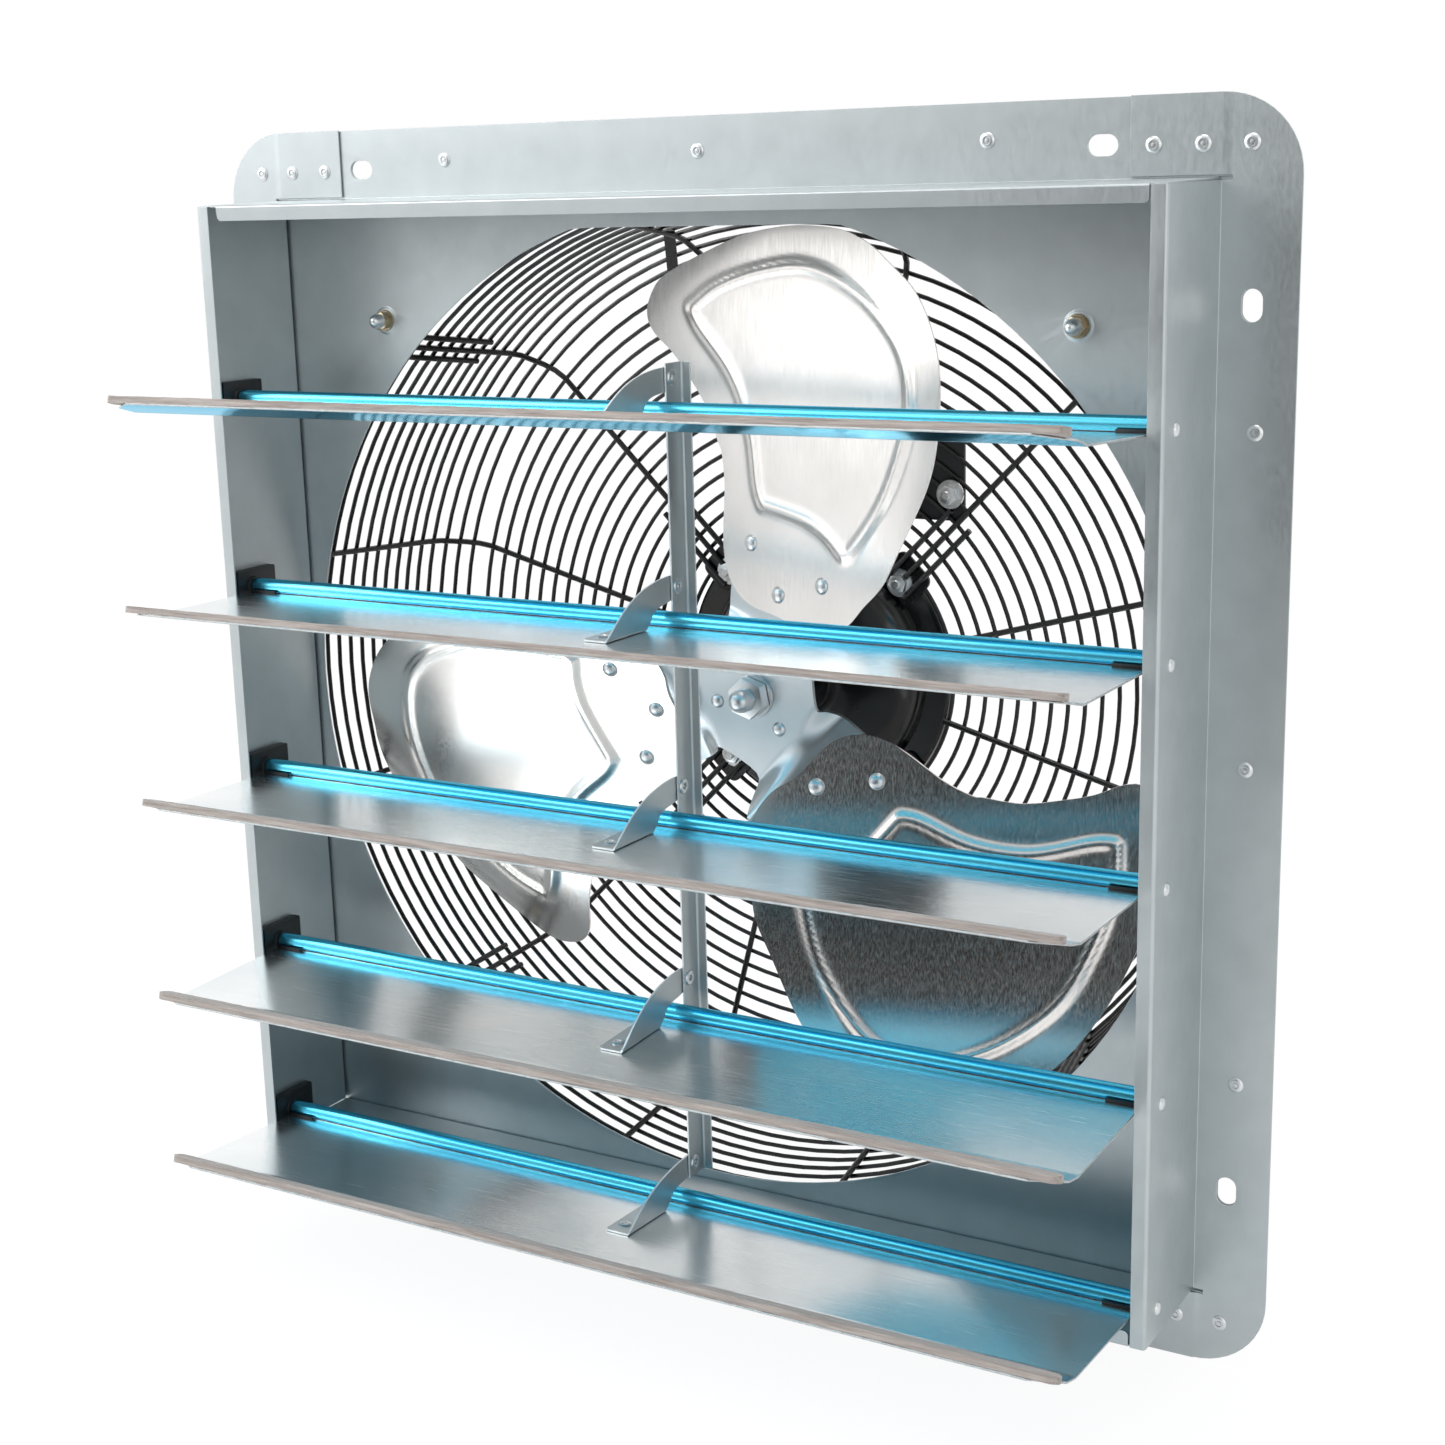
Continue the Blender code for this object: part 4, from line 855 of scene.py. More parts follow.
put("motor_can", shape, [enamel], "housing", ["motor_body"], 30)

cap_profile = [(0, 200.0), (60, 200.0), (62, 200.7), (62, 208), (61.2, 210.6), (59, 212.4), (55, 213.2),
               (30, 213.4), (22, 213.4), (20.6, 212.2), (12, 212.0), (0, 212.0)]
shape = bmesh.new()
stamp(shape, turned(cap_profile, 72), [along_depth])
screw = turned([(0, -0.5), (3.6, -0.5), (3.6, 0.4), (3, 1.2), (1.5, 1.6), (1.2, 0.7), (0, 0.7)], 16)
places = [facing(at_angle(46 * mm, 45 + 90 * i, 212.2 * mm), backward) for i in range(4)]
stamp(shape, screw, places, 1)
put("motor_cover", shape, [enamel, zinc], "housing", ["motor_rear_cap"], 30)

# %% [markdown]
# The motor hangs on four bolts through the guard's tabs. Each has a wide washer, a nut and a
# bolt end that looks towards the fan. A fifth, higher up, holds the wiring box.

# %% Motor bolts
bolt_seat = tab_plane - tab_sheet / 2
wide_washer = turned([(0, 0), (9.2, 0), (9.5, 0.5), (9.3, 1.6), (0, 1.7)], 28)
washer_rise = 1.7 * mm
nut_rise = 6.2 * mm
fifth_bolt = Vector((101 * mm, 137.2 * mm, 124 * mm))
bolt_nut = nut(5.8 * mm, 4.6 * mm)
bolt_end = turned([(0, 0), (3, 0), (3, 2.2), (2.4, 2.8), (0, 2.9)], 16)


def front_bolt(name, place, angle, stands_for=()):
    """Washer, nut and bolt end that look towards the fan."""
    shape = bmesh.new()
    for form, rise, spin in ((wide_washer, 0, 0), (bolt_nut, washer_rise, angle), (bolt_end, nut_rise, 0)):
        stamp(shape, form, [facing(place - Vector((0, rise, 0)), forward, spin)])
    return put(name, shape, [zinc], "housing", stands_for, 35)


for number in range(1, 5):
    node_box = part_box(f"motor_bolt_{number}")
    centre = (node_box[0] + node_box[1]) / 2
    place = Vector((centre.x, bolt_seat, centre.z))
    front_bolt(f"motor_fixing_{number}", place, 25 * number, [f"motor_bolt_{number}"])
front_bolt("wiring_box_fixing", fifth_bolt, 10)
print("5 bolts on the guard")

# %% [markdown]
# ## Wiring box
# A small moulded box on the back of the guard, beside the motor, takes the supply lead. It has
# a foot plate, a body, a lid with four screws, and a gland on top.

# %% Wiring box
def moulded_block(width, depth, height, place, corner, edge):
    """Box with rounded uprights and softened edges. It grows backwards from its place."""
    shape = block(width, depth, height)
    soften(shape, edges_along(shape, 1, depth / 2), corner, 5)
    rims = [e for e in shape.edges if abs(e.verts[0].co.y - e.verts[1].co.y) < depth / 4]
    soften(shape, rims, edge, 2)
    bmesh.ops.translate(shape, vec=(place[0], place[1] + depth / 2, place[2]), verts=shape.verts[:])
    bmesh.ops.recalc_face_normals(shape, faces=shape.faces[:])
    return shape


stay = Matrix.Identity(4)
case_x, case_z = 57 * mm, 136 * mm
case_width, case_height, case_depth = 66 * mm, 52 * mm, 35.2 * mm
case_round = 5 * mm
case_front, lid_front, screw_seat = 145.2 * mm, 180.7 * mm, 184.6 * mm
foot_x = 64 * mm
foot_width, foot_depth, foot_height = 88 * mm, 3 * mm, 60 * mm
lid_depth = 4 * mm
shape = moulded_block(foot_width, foot_depth, foot_height, (foot_x, motor_front, case_z), case_round,
                      0.5 * mm)
case = moulded_block(case_width, case_depth, case_height, (case_x, case_front, case_z), case_round, 0.6 * mm)
stamp(shape, case, [stay])
put("wiring_case", shape, [nylon], "housing", ["wiring_box"], 30)
shape = moulded_block(case_width, lid_depth, case_height, (case_x, lid_front, case_z), case_round, 1.2 * mm)
lid_screws = [(case_x + sx * 27 * mm, screw_seat, case_z + sz * 20 * mm) for sx, sz in round_signs]
stamp(shape, screw, [facing(place, backward) for place in lid_screws], 1)
put("wiring_lid", shape, [nylon, zinc], "housing", ["wiring_cover"], 30)
gland_profile = [(0, 0), (9, 0), (9, 6.6), (8.4, 7.4), (7.2, 7.8), (7.2, 9), (6.6, 16), (5.4, 20),
                 (4.4, 21.6), (0, 21.8)]
shape = bmesh.new()
stamp(shape, turned(gland_profile), [Matrix.Translation((case_x, 162.9 * mm, 162.3 * mm))])
put("supply_gland", shape, [nylon], "housing", ["cable_gland"], 30)
print("wiring box done")

# %% [markdown]
# ## Blades
# Each blade is one sheet, cut to a scimitar outline, rolled to a gentle camber, and pressed with
# a shield-shaped panel whose raised rim stiffens it. A fine grid is the simplest start: every
# point of it is moved to the depth that pitch, camber and pressing give at that place. The
# grid gets its thickness, and a prism of the outline then trims it with a Boolean, as a die does.

# %% Blade outlines
blade_line = [
    (55, -53), (52, -33), (57, -16), (58, 12.5), (67, 29.5), (82, 38.5), (98.7, 42.5),
    (127.5, 46.2), (147, 52), (153.5, 56.5), (173, 70), (189, 88), (201, 104), (210, 121),
    (219, 129), (230, 129.6), (244.6, 122.5), (258, 104), (279.5, 66), (288.3, 45), (296.5, 15),
    (300, -17.6), (298, -37.7), (293, -53), (289, -61), (275, -87), (253.7, -105.2), (230, -115.3),
    (198.4, -120), (168, -118), (127, -104), (100.8, -94.2), (84, -82), (68.9, -71.2)]
shield_sides = [
    [(231.6, 93.4), (249.7, 72.1), (266, 36.6), (274.7, -1.9), (266.7, -42.5), (248.8, -73.9), (228.5, -90.5),
     (197.8, -96.4), (151.9, -86.8), (115.5, -67.4), (108.9, -59.4)],
    [(108.9, -59.4), (118, -43), (122.6, -22), (122.5, 12.1)],
    [(122.5, 12.1), (134.1, 19.3), (167.4, 31), (197.5, 52.4), (220.9, 83.9), (231.6, 93.4)]]


def smooth_line(points, closed=True, steps=6):
    """A curve through the points, as Bezier pieces whose handles follow the neighbours."""
    flat = [Vector((u, s)) for u, s in points]
    count = len(flat)
    drawn = []
    for i in range(count if closed else count - 1):
        here, there = flat[i], flat[(i + 1) % count]
        back = flat[i - 1] if closed or i else here
        ahead = flat[(i + 2) % count] if closed or i + 2 < count else there
        handles = here + (there - back) / 6, there - (ahead - here) / 6
        drawn += interpolate_bezier(here, *handles, there, steps + 1)[:-1]
    return drawn if closed else drawn + [flat[-1]]


outline = smooth_line(blade_line)
shield = [point for side in shield_sides for point in smooth_line(side, closed=False)[:-1]]
print(len(outline), "points on the outline,", len(shield), "on the shield")

# %% Blade surface
blade_sheet = 1.5 * mm
blade_depth = 51.8
pitch = 0.3215
camber = 0.000417
shield_rise = 0.7
shield_ramp = 8
rim_rise = 1.4
rim_inset = 0.5
rim_width = 3.2


def depth_of_pitch(across):
    """Depth in mm of the blade's front face, from its pitch and camber."""
    return blade_depth + pitch * across - camber * across * across


def ease(share):
    """Soft step from 0 to 1."""
    return share * share * (3 - 2 * share)


def inside_distance(points, loop):
    """Distance in mm from each point to a closed line, positive inside it."""
    p = np.array(points)[:, None, :]
    a = np.array([tuple(v) for v in loop])[None, :, :]
    b = np.roll(a, -1, axis=1)
    share = np.clip(((p - a) * (b - a)).sum(2) / ((b - a) ** 2).sum(2), 0, 1)
    near = np.sqrt(((a + share[..., None] * (b - a) - p) ** 2).sum(2)).min(1)
    spans = (a[..., 1] > p[..., 1]) != (b[..., 1] > p[..., 1])
    rise = np.where(b[..., 1] == a[..., 1], 1e-9, b[..., 1] - a[..., 1])
    hits = spans & (p[..., 0] < a[..., 0] + (p[..., 1] - a[..., 1]) * (b[..., 0] - a[..., 0]) / rise)
    return np.where(hits.sum(1) % 2 == 1, near, -near)


def pressing(distance):
    """Rise of the shield in mm at a distance inside its line."""
    step = ease(np.clip(distance / shield_ramp + 0.5, 0, 1))
    return shield_rise * step + rim_rise * np.exp(-(((distance - rim_inset) / rim_width) ** 2))


def sheet_grid(low, high, cell):
    """Flat grid of square cells over a rectangle of the fan's plane, in metres."""
    across, up = (high[0] - low[0]), (high[1] - low[1])
    grid = bmesh.new()
    bmesh.ops.create_grid(grid, x_segments=round(across / cell), y_segments=round(up / cell), size=0.5)
    bmesh.ops.scale(grid, vec=(across, up, 1), verts=grid.verts[:])
    middle = ((low[0] + high[0]) / 2, 0, (low[1] + high[1]) / 2)
    grid.transform(Matrix.Translation(middle) @ turn_by(90, "X"))
    return grid


def thicken_back(shape, thickness):
    """Closes a sheet that faces forwards into a plate, by extruding it backwards."""
    grow(shape, shape.faces[:], (0, thickness, 0))
    bmesh.ops.recalc_face_normals(shape, faces=shape.faces[:])


def trim(shape, loop, holes=()):
    """Cuts a plate to a line of (x, z) points in mm with a Boolean, and drills round holes."""
    die = bmesh.new()
    face = die.faces.new([die.verts.new((u * mm, -0.05, s * mm)) for u, s in loop])
    grow(die, [face], (0, 0.2, 0))
    bmesh.ops.recalc_face_normals(die, faces=die.faces[:])
    tools = [("INTERSECT", die)]
    for x, z, radius in holes:
        drill = bmesh.new()
        bmesh.ops.create_cone(drill, cap_ends=True, segments=32, radius1=radius, radius2=radius, depth=0.2,
                              matrix=Matrix.Translation((x, 0.05, z)) @ turn_by(90, "X"))
        tools.append(("DIFFERENCE", drill))
    objects = []
    for word, form in [("", shape)] + tools:
        mesh = bpy.data.meshes.new("trim")
        form.to_mesh(mesh)
        form.free()
        objects.append(add_object("trim", mesh))
    for (word, form), tool in zip(tools, objects[1:]):
        cutter = objects[0].modifiers.new("die", "BOOLEAN")
        cutter.operation = word
        cutter.solver = "EXACT"
        cutter.object = tool
    mesh = bpy.data.meshes.new_from_object(objects[0].evaluated_get(bpy.context.evaluated_depsgraph_get()))
    result = bmesh.new()
    result.from_mesh(mesh)
    bpy.data.meshes.remove(mesh)
    for item in objects:
        bpy.data.objects.remove(item)
    return result


grid_cell = 2.5 * mm
blank_low, blank_high = (46 * mm, -126 * mm), (306 * mm, 136 * mm)
plate = sheet_grid(blank_low, blank_high, grid_cell)
places = [(v.co.x / mm, v.co.z / mm) for v in plate.verts]
rises = pressing(inside_distance(places, shield))
for vert, (u, s), rise in zip(plate.verts, places, rises):
    vert.co.y = (depth_of_pitch(s) - rise) * mm
thicken_back(plate, blade_sheet)
plate = trim(plate, outline)
print("blade blank", len(plate.faces), "faces, rise up to", round(float(rises.max()), 2), "mm")

# %% Blades with their rivets
blade_rivets = [(97, 17.5), (71, -11), (87, -46)]
head_scale, tail_scale = 1.15, 0.8
rivet_grip = 5.0 * mm
rivet_forms = []
for u, s in blade_rivets:
    slope = pitch - 2 * camber * s
    seat = Vector((u, depth_of_pitch(s), s)) * mm
    rivet_forms.append(facing(seat, (0, -1, slope)) @ Matrix.Scale(head_scale, 4))
    tail = seat + Vector((0, rivet_grip, 0))
    rivet_forms.append(facing(tail, (0, 1, -slope)) @ Matrix.Scale(tail_scale, 4))
lean = [80.5, 200.5, 320.5]
for number, degrees in enumerate(lean, 1):
    shape = plate.copy()
    stamp(shape, dome_rivet, rivet_forms, 1)
    shape.transform(turn_by(-degrees, "Y"))
    put(f"pressed_blade_{number}", shape, [blade_metal, zinc], "rotor", [f"blade_{number}"],
        40)
print("3 blades at", lean)

# %% [markdown]
# ## Hub spider
# A thicker pressed plate carries the blades: a flat disc in the middle, and three arms twisted
# to the blades' pitch behind them. It is made as a blade is, from a grid whose depth blends from
# the flat disc to the blade's surface along each arm, trimmed to a three-lobed line.

# %% Hub spider
disc_plane = 53.6
spider_sheet = 3.0 * mm
arm_gap = 0.3
disc_radius = 36
arm_twist = 17
arm_reach = 108 * mm
spider_cell = 2.0 * mm
shaft_hole = 6.2 * mm
hub_rivet_out = 27.3 * mm
arm_line = [(33.5, -38.5), (43, -50), (55, -57.5), (72, -60), (88, -57), (101, -36), (105, 0), (97, 26),
            (86, 30.5), (68, 31), (54, 30), (44, 27.5), (36.5, 25.5)]


def arm_depth(x, z):
    """Depth in mm of the spider's front face: disc in the middle, blade pitch out on the arms."""
    best = max(lean, key=lambda d: x * math.cos(math.radians(d)) + z * math.sin(math.radians(d)))
    a = math.radians(best)
    out = x * math.cos(a) + z * math.sin(a)
    across = z * math.cos(a) - x * math.sin(a)
    share = ease(min(max((out - disc_radius) / arm_twist, 0), 1))
    return disc_plane + (depth_of_pitch(across) + blade_sheet / mm + arm_gap - disc_plane) * share


line = []
for degrees in lean:
    line += [at_angle(u, degrees, 0, s)[::2] for u, s in arm_line]
spider = sheet_grid((-arm_reach, -arm_reach), (arm_reach, arm_reach), spider_cell)
for vert in spider.verts:
    vert.co.y = arm_depth(vert.co.x / mm, vert.co.z / mm) * mm
thicken_back(spider, spider_sheet)
spider = trim(spider, smooth_line(line, steps=4), [(0, 0, shaft_hole)])
hub_rivets = [facing(at_angle(hub_rivet_out, 72 + 120 * i, disc_plane * mm), forward) for i in range(3)]
stamp(spider, dome_rivet, hub_rivets, 1)
print("hub spider", len(spider.faces), "faces")
put("spider_plate", spider, [plain_zinc, zinc], "rotor", ["hub_spider"], 35)

# %% [markdown]
# The shaft's end carries a washer, a hexagon nut and a dome nut, all bright zinc. Behind the
# plate the collar takes the set screws that lock the fan to the shaft.

# %% Hub nuts and collar
shape = bmesh.new()
hub_washer = turned([(6.3, 0), (14.3, 0), (14.5, 0.4), (14.2, 2), (6.6, 2.1), (6.3, 0)], 32)
stamp(shape, hub_washer, [facing((0, disc_plane * mm, 0), forward)])
put("shaft_washer", shape, [zinc], "rotor", ["hub_washer"], 35)
nut_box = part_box("hub_nut")
dome_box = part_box("dome_nut")
shape = nut(11.9 * mm, 8.3 * mm, chamfer=1.2 * mm)
shape.transform(facing((0, nut_box[1].y, 0), forward, 12))
put("shaft_nut", shape, [zinc], "rotor", ["hub_nut"], 30)
dome_length = (dome_box[1].y - dome_box[0].y) / mm
shape = nut(7.0 * mm, 5.0 * mm, chamfer=0.8 * mm)
dome_profile = [(0, 4), (7.4, 4), (7.8, 5), (7.4, 7.4), (6.1, 9.8), (4.1, 11.3), (2, 11.9), (0, dome_length)]
stamp(shape, turned(dome_profile, 28), [stay])
shape.transform(facing((0, dome_box[1].y, 0), forward, 40))
put("shaft_dome_nut", shape, [zinc], "rotor", ["dome_nut"], 30)
collar_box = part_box("hub_collar")
screw_out = 17.6 * mm
shape = bmesh.new()
collar = turned([(6.6, 0), (17, 0), (18, 1), (18, 29), (17, 30), (6.6, 30), (6.6, 0)], 40)
set_screw = turned([(0, -1), (3.2, -1), (3.2, 0.8), (2.6, 1.2), (1.5, 1.2), (1.4, 0.2), (0, 0.2)], 12)
stamp(shape, collar, [facing((0, collar_box[0].y, 0), backward)])
middle = (collar_box[0].y + collar_box[1].y) / 2
stamp(shape, set_screw, [facing((0, middle, screw_out), (0, 0, 1)),
                         facing((screw_out, middle, 0), (1, 0, 0))])
put("shaft_collar", shape, [zinc], "rotor", ["hub_collar"], 35)
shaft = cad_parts["fan_shaft"]
shaft.data.materials.clear()
shaft.data.materials.append(zinc)
print("hub at", round(dome_box[0].y / mm, 1), "to", round(collar_box[1].y / mm, 1), "mm")

# %% [markdown]
# ## Louvres
# Each louvre is one sheet with a roll along its rear edge, which turns on the pivot pins, and a
# crease near the front that lifts the last strip. The film side is drawn as the face: the
# profile is a line, the roll is spun round the pin's axis, and the whole line runs along the
# louvre. Solidify then adds the bare side and gives the cut edges their own colour. The film
# stops short of the roll's end and leaves a bare hem there.

# %% Louvre sheets
louvre_half = 306.5 * mm
roll_radius = 5.0 * mm
roll_sweep = 318
bare_hem = 14
roll_finish, hem_finish = 2, 3
crease = (-98.0 * mm, -0.2 * mm)
crease_round = 2 * mm
crease_middle = (crease[0] - 0.4 * mm, crease[1] + 0.03 * mm)
front_edge = (-124.0 * mm, 7.26 * mm)
clip_along = 18 * mm
clip_back = 13 * mm
droops = [math.radians(d) for d in (0.0, 2.3, 2.3, 4.5, -0.5)]
front_slope = math.atan2(front_edge[1] - crease[1], crease[0] - front_edge[0])
plate_slope = math.atan2(crease[1] + roll_radius, -crease[0])


def let_droop(shape, number, height):
    """Turns a louvre's form down about its axis: the linkage leaves each one a little play."""
    bmesh.ops.rotate(shape, cent=(0, pivot_line, height), matrix=Matrix.Rotation(droops[number - 1], 3, "X"),
                     verts=shape.verts[:])


def beside_crease(distance, slope):
    """Point on the profile at a distance from the crease, backwards or forwards."""
    return crease[0] + distance * math.cos(slope), crease[1] - distance * math.sin(slope)


def louvre_sheet(number, height):
    """One louvre: its profile run along the fan's width, clipped and thickened."""
    shape = bmesh.new()
    spots = [front_edge, beside_crease(-crease_round, front_slope), crease_middle,
             beside_crease(crease_round, plate_slope), (0, -roll_radius)]
    points = [shape.verts.new((-louvre_half, pivot_line + y, height + z)) for y, z in spots]
    for pair in zip(points, points[1:]):
        shape.edges.new(pair)
    bmesh.ops.spin(shape, geom=[points[-1]], cent=(0, pivot_line, height), axis=(1, 0, 0),
                   angle=math.radians(roll_sweep), steps=28, use_duplicate=False)
    run_on(shape, shape.edges[:], (2 * louvre_half, 0, 0))
    bmesh.ops.remove_doubles(shape, verts=shape.verts[:], dist=1e-7)
    for side in (-1, 1):
        corner = Vector((side * louvre_half, pivot_line + front_edge[0] + clip_back, height))
        outwards = Vector((side * clip_back, -clip_along, 0)).normalized()
        cut_along(shape, corner, outwards, clear_outer=True)
    flats = [f for f in shape.faces if f.calc_center_median().y < pivot_line - 20 * mm]
    face_towards(shape, (0, 0, -1), flats)
    for face in shape.faces:
        if face not in flats:
            middle = face.calc_center_median() - Vector((0, pivot_line, height))
            turn = math.degrees(math.atan2(middle.y, -middle.z)) % 360
            face.material_index = hem_finish if turn > roll_sweep - bare_hem else roll_finish
    let_droop(shape, number, height)
    finishes = [film, louvre_metal, rolled_film, louvre_metal, louvre_metal, cut_edge]
    piece = put(f"louvre_sheet_{number}", shape, finishes, f"louvre_{number}",
                [f"louvre_panel_{number}"], 60)
    return give_thickness(piece, sheet, 0, material_offset=1, material_offset_rim=5)


for number, height in enumerate(louvre_heights, 1):
    piece = louvre_sheet(number, height)
print("louvre sheets:", len(piece.data.polygons), "faces each")
print("slope", round(math.degrees(plate_slope), 1), "degrees")

# %% [markdown]
# ## Felt strips
# A strip of self-adhesive felt lies along each front edge, so that a closing louvre doesn't
# rattle. It starts as a bar of small cells; every point is then moved a little by noise, which
# gives the soft uneven edge that scissors leave on felt. The noise starts from a fixed seed, so
# that each run gives the same felt.

# %% Felt strips
felt_half = 306 * mm
felt_width = 10 * mm
felt_height = 4.0 * mm
felt_fuzz = 0.2 * mm
fuzz_cell = 6 * mm
felt_gap = 0.1 * mm
noise.seed_set(5)


def felt_strip(number, height):
    """One strip of felt on the bare side of a louvre's front edge."""
    shape = block(2 * felt_half, felt_width, felt_height)
    for axis, count in (((1, 0, 0), 300), ((0, 1, 0), 6), ((0, 0, 1), 3)):
        along = Vector(axis)
        edges = [e for e in shape.edges if abs((e.verts[0].co - e.verts[1].co).normalized().dot(along)) > 0.9]
        bmesh.ops.subdivide_edges(shape, edges=edges, cuts=count, use_grid_fill=True)
    for vert in shape.verts:
        past = max(0.0, abs(vert.co.x) - felt_half + felt_width / 2) / (felt_width / 2)
        vert.co.y *= math.sqrt(max(0.12, 1 - past * past))
        cell = vert.co / fuzz_cell + Vector((0, 0, 31 * number))
        vert.co += noise.noise_vector(cell) * felt_fuzz
    lie = Matrix.Rotation(-front_slope, 4, "X")
    lift = sheet + felt_height / 2 + felt_gap
    place = Vector((0, pivot_line + front_edge[0], height + front_edge[1]))
    place = place + lie @ Vector((0, felt_width / 2, lift))
    shape.transform(Matrix.Translation(place) @ lie)
    let_droop(shape, number, height)
    bmesh.ops.recalc_face_normals(shape, faces=shape.faces[:])
    return put(f"felt_edge_{number}", shape, [felt], f"louvre_{number}", [f"felt_strip_{number}"], 80)


for number, height in enumerate(louvre_heights, 1):
    piece = felt_strip(number, height)
print("felt strips:", len(piece.data.polygons), "faces each")

# %% [markdown]
# ## Crank brackets and tie bar
# A curved steel bracket stands on each louvre, its foot riveted to the sheet. A hollow rivet
# through its eye joins it to the tie bar, an angle section that moves all five as one.

# %% Crank brackets
horn_plane = 7.0 * mm
horn_sheet = 1.2 * mm
horn_foot = 17 * mm
link_back = 13.7 * mm
link_up = 17.7 * mm
eye_radius = 6.8 * mm
foot_front = -63 * mm
foot_back = -19 * mm
foot_lift = 0.25 * mm
foot_bend = 1 * mm
foot_round = 3 * mm
eyelet_hole = 2.4 * mm
strip_edge = 0.15 * mm
front_shares = [(0.012, 0.09), (0.045, 0.16), (0.15, 0.45), (0.27, 0.74), (0.40, 0.98), (0.55, 1.17),
                (0.74, 1.30), (0.90, 1.34)]
rear_shares = [(0.66, 0.58), (0.42, 0.53), (0.22, 0.40), (0.10, 0.18), (0.03, 0.10)]


def on_plate(number, y):
    """Place (y, z) on a louvre's bare face, measured from its pivot."""
    level = Vector((0, y, sheet - roll_radius - math.tan(plate_slope) * y + foot_lift))
    place = Matrix.Rotation(droops[number - 1], 3, "X") @ level
    return place.y, place.z


def crank_bracket(number, height):
    """One bracket: a curved web, and a foot folded over the louvre."""
    shape = bmesh.new()
    fore, low = on_plate(number, foot_front)
    aft, high = on_plate(number, foot_back)
    front = [(fore + (link_back - fore) * a, low + (link_up - low) * b) for a, b in front_shares]
    rear = [(aft + (link_back - aft) * a, high + (link_up - high) * b) for a, b in rear_shares]
    bends = [math.radians(a) for a in range(80, -81, -16)]
    eye_arc = [(link_back + eye_radius * math.cos(a), link_up + eye_radius * math.sin(a)) for a in bends]
    line = [(aft, high + foot_bend), (fore, low + foot_bend)]
    line += smooth_line(front, False, 4) + eye_arc + smooth_line(rear, False, 4)
    loop = closed_loop(shape, [(horn_plane, pivot_line + y, height + z) for y, z in line])
    foot_edge = loop[0]
    hole = (horn_plane, pivot_line + link_back, height + link_up)
    fill(shape, loop + draw_circle(shape, hole, eyelet_hole, 16, turn_by(90, "Y")))
    centre = foot_edge.verts[0].co + Vector((-foot_bend, 0, 0))
    axis = (foot_edge.verts[1].co - foot_edge.verts[0].co).normalized()
    turn = 90 if axis.y > 0 else -90
    edges = fold(shape, [foot_edge], centre, axis, turn)
    run_on(shape, edges, (-(horn_foot - foot_bend), 0, 0))
    ends = [v for v in shape.verts if v.co.x < horn_plane - horn_foot + 0.1 * mm]
    soften(shape, ends, foot_round, 4, "VERTICES")
    face_towards(shape, (1, 0, 0), faces_in_plane(shape, 0, horn_plane))
    piece = put(f"crank_{number}", shape, [galvanised, cut_edge], f"louvre_{number}",
                [f"crank_bracket_{number}"], 40)
    return give_thickness(piece, horn_sheet, strip_edge, material_offset_rim=1)


for number, height in enumerate(louvre_heights, 1):
    piece = crank_bracket(number, height)
crank_top = max(v.co.z for v in piece.data.vertices) - height
print("crank brackets rise", round(crank_top / mm, 1), "mm over the pivots")

# %% Link rivets and foot rivets
foot_rivet_y = -52 * mm
foot_rivet_x = -3.0 * mm
foot_rivet_scale = 0.9
eyelet_faces = (8.6 * mm, 5.6 * mm)
tube = turned([(1.7, -3), (2.15, -3), (2.15, 0), (1.7, 0), (1.7, -3)], 16)
for number, height in enumerate(louvre_heights, 1):
    shape = bmesh.new()
    near, far = [(x, pivot_line + link_back, height + link_up) for x in eyelet_faces]
    stamp(shape, eyelet, [facing(near, (1, 0, 0)), facing(far, (-1, 0, 0))])
    stamp(shape, tube, [facing(near, (1, 0, 0))])
    fore, low = on_plate(number, foot_rivet_y)
    seat = Vector((foot_rivet_x, pivot_line + fore, height + low + horn_sheet))
    lean_back = plate_slope - droops[number - 1]
    up = (0, -math.sin(lean_back), math.cos(lean_back))
    stamp(shape, blind_rivet, [facing(seat, up, 30 * number) @ Matrix.Scale(foot_rivet_scale, 4)])
    put(f"link_rivet_{number}", shape, [zinc], f"louvre_{number}", [f"link_pin_{number}"], 35)
print("5 link rivets")

# %% Tie bar
bar_plane = 8.5 * mm
bar_sheet = 1.2 * mm
bar_front = -6.2 * mm
bar_back = 10.8 * mm
bar_flange = 6 * mm
bar_half = 253.8 * mm
bar_hole = 2.6 * mm
bar_line = pivot_line + link_back
bar_middle = louvre_heights[2] + link_up
shape = bmesh.new()
low, high = bar_middle - bar_half, bar_middle + bar_half
web_front, web_back = bar_line + bar_front, bar_line + (bar_back - outer_bend)
loop = closed_loop(shape, [(bar_plane, y, z) for y, z in
                           ((web_front, low), (web_back, low), (web_back, high), (web_front, high))])
rear_edge = loop[1]
for height in louvre_heights:
    loop += draw_circle(shape, (bar_plane, bar_line, height + link_up), bar_hole, 16, turn_by(90, "Y"))
fill(shape, loop)
bend_centre = (bar_plane + outer_bend, bar_line + bar_back - outer_bend, 0)
bend = fold(shape, [rear_edge], bend_centre, (0, 0, 1), -90)
run_on(shape, bend, (bar_flange - outer_bend, 0, 0))
face_towards(shape, (1, 0, 0), faces_in_plane(shape, 0, bar_plane))
bar = put("link_bar", shape, [galvanised, cut_edge], "tie_bar", ["tie_bar"], 40)
give_thickness(bar, bar_sheet, strip_edge, material_offset_rim=1)
print("tie bar", len(bar.data.polygons), "faces")

# %% [markdown]
# ## Pivot blocks
# Each louvre turns on two moulded nylon blocks, riveted to the side walls. A block is a plate
# with softened edges, a raised boss, and a pin that reaches into the louvre's roll.

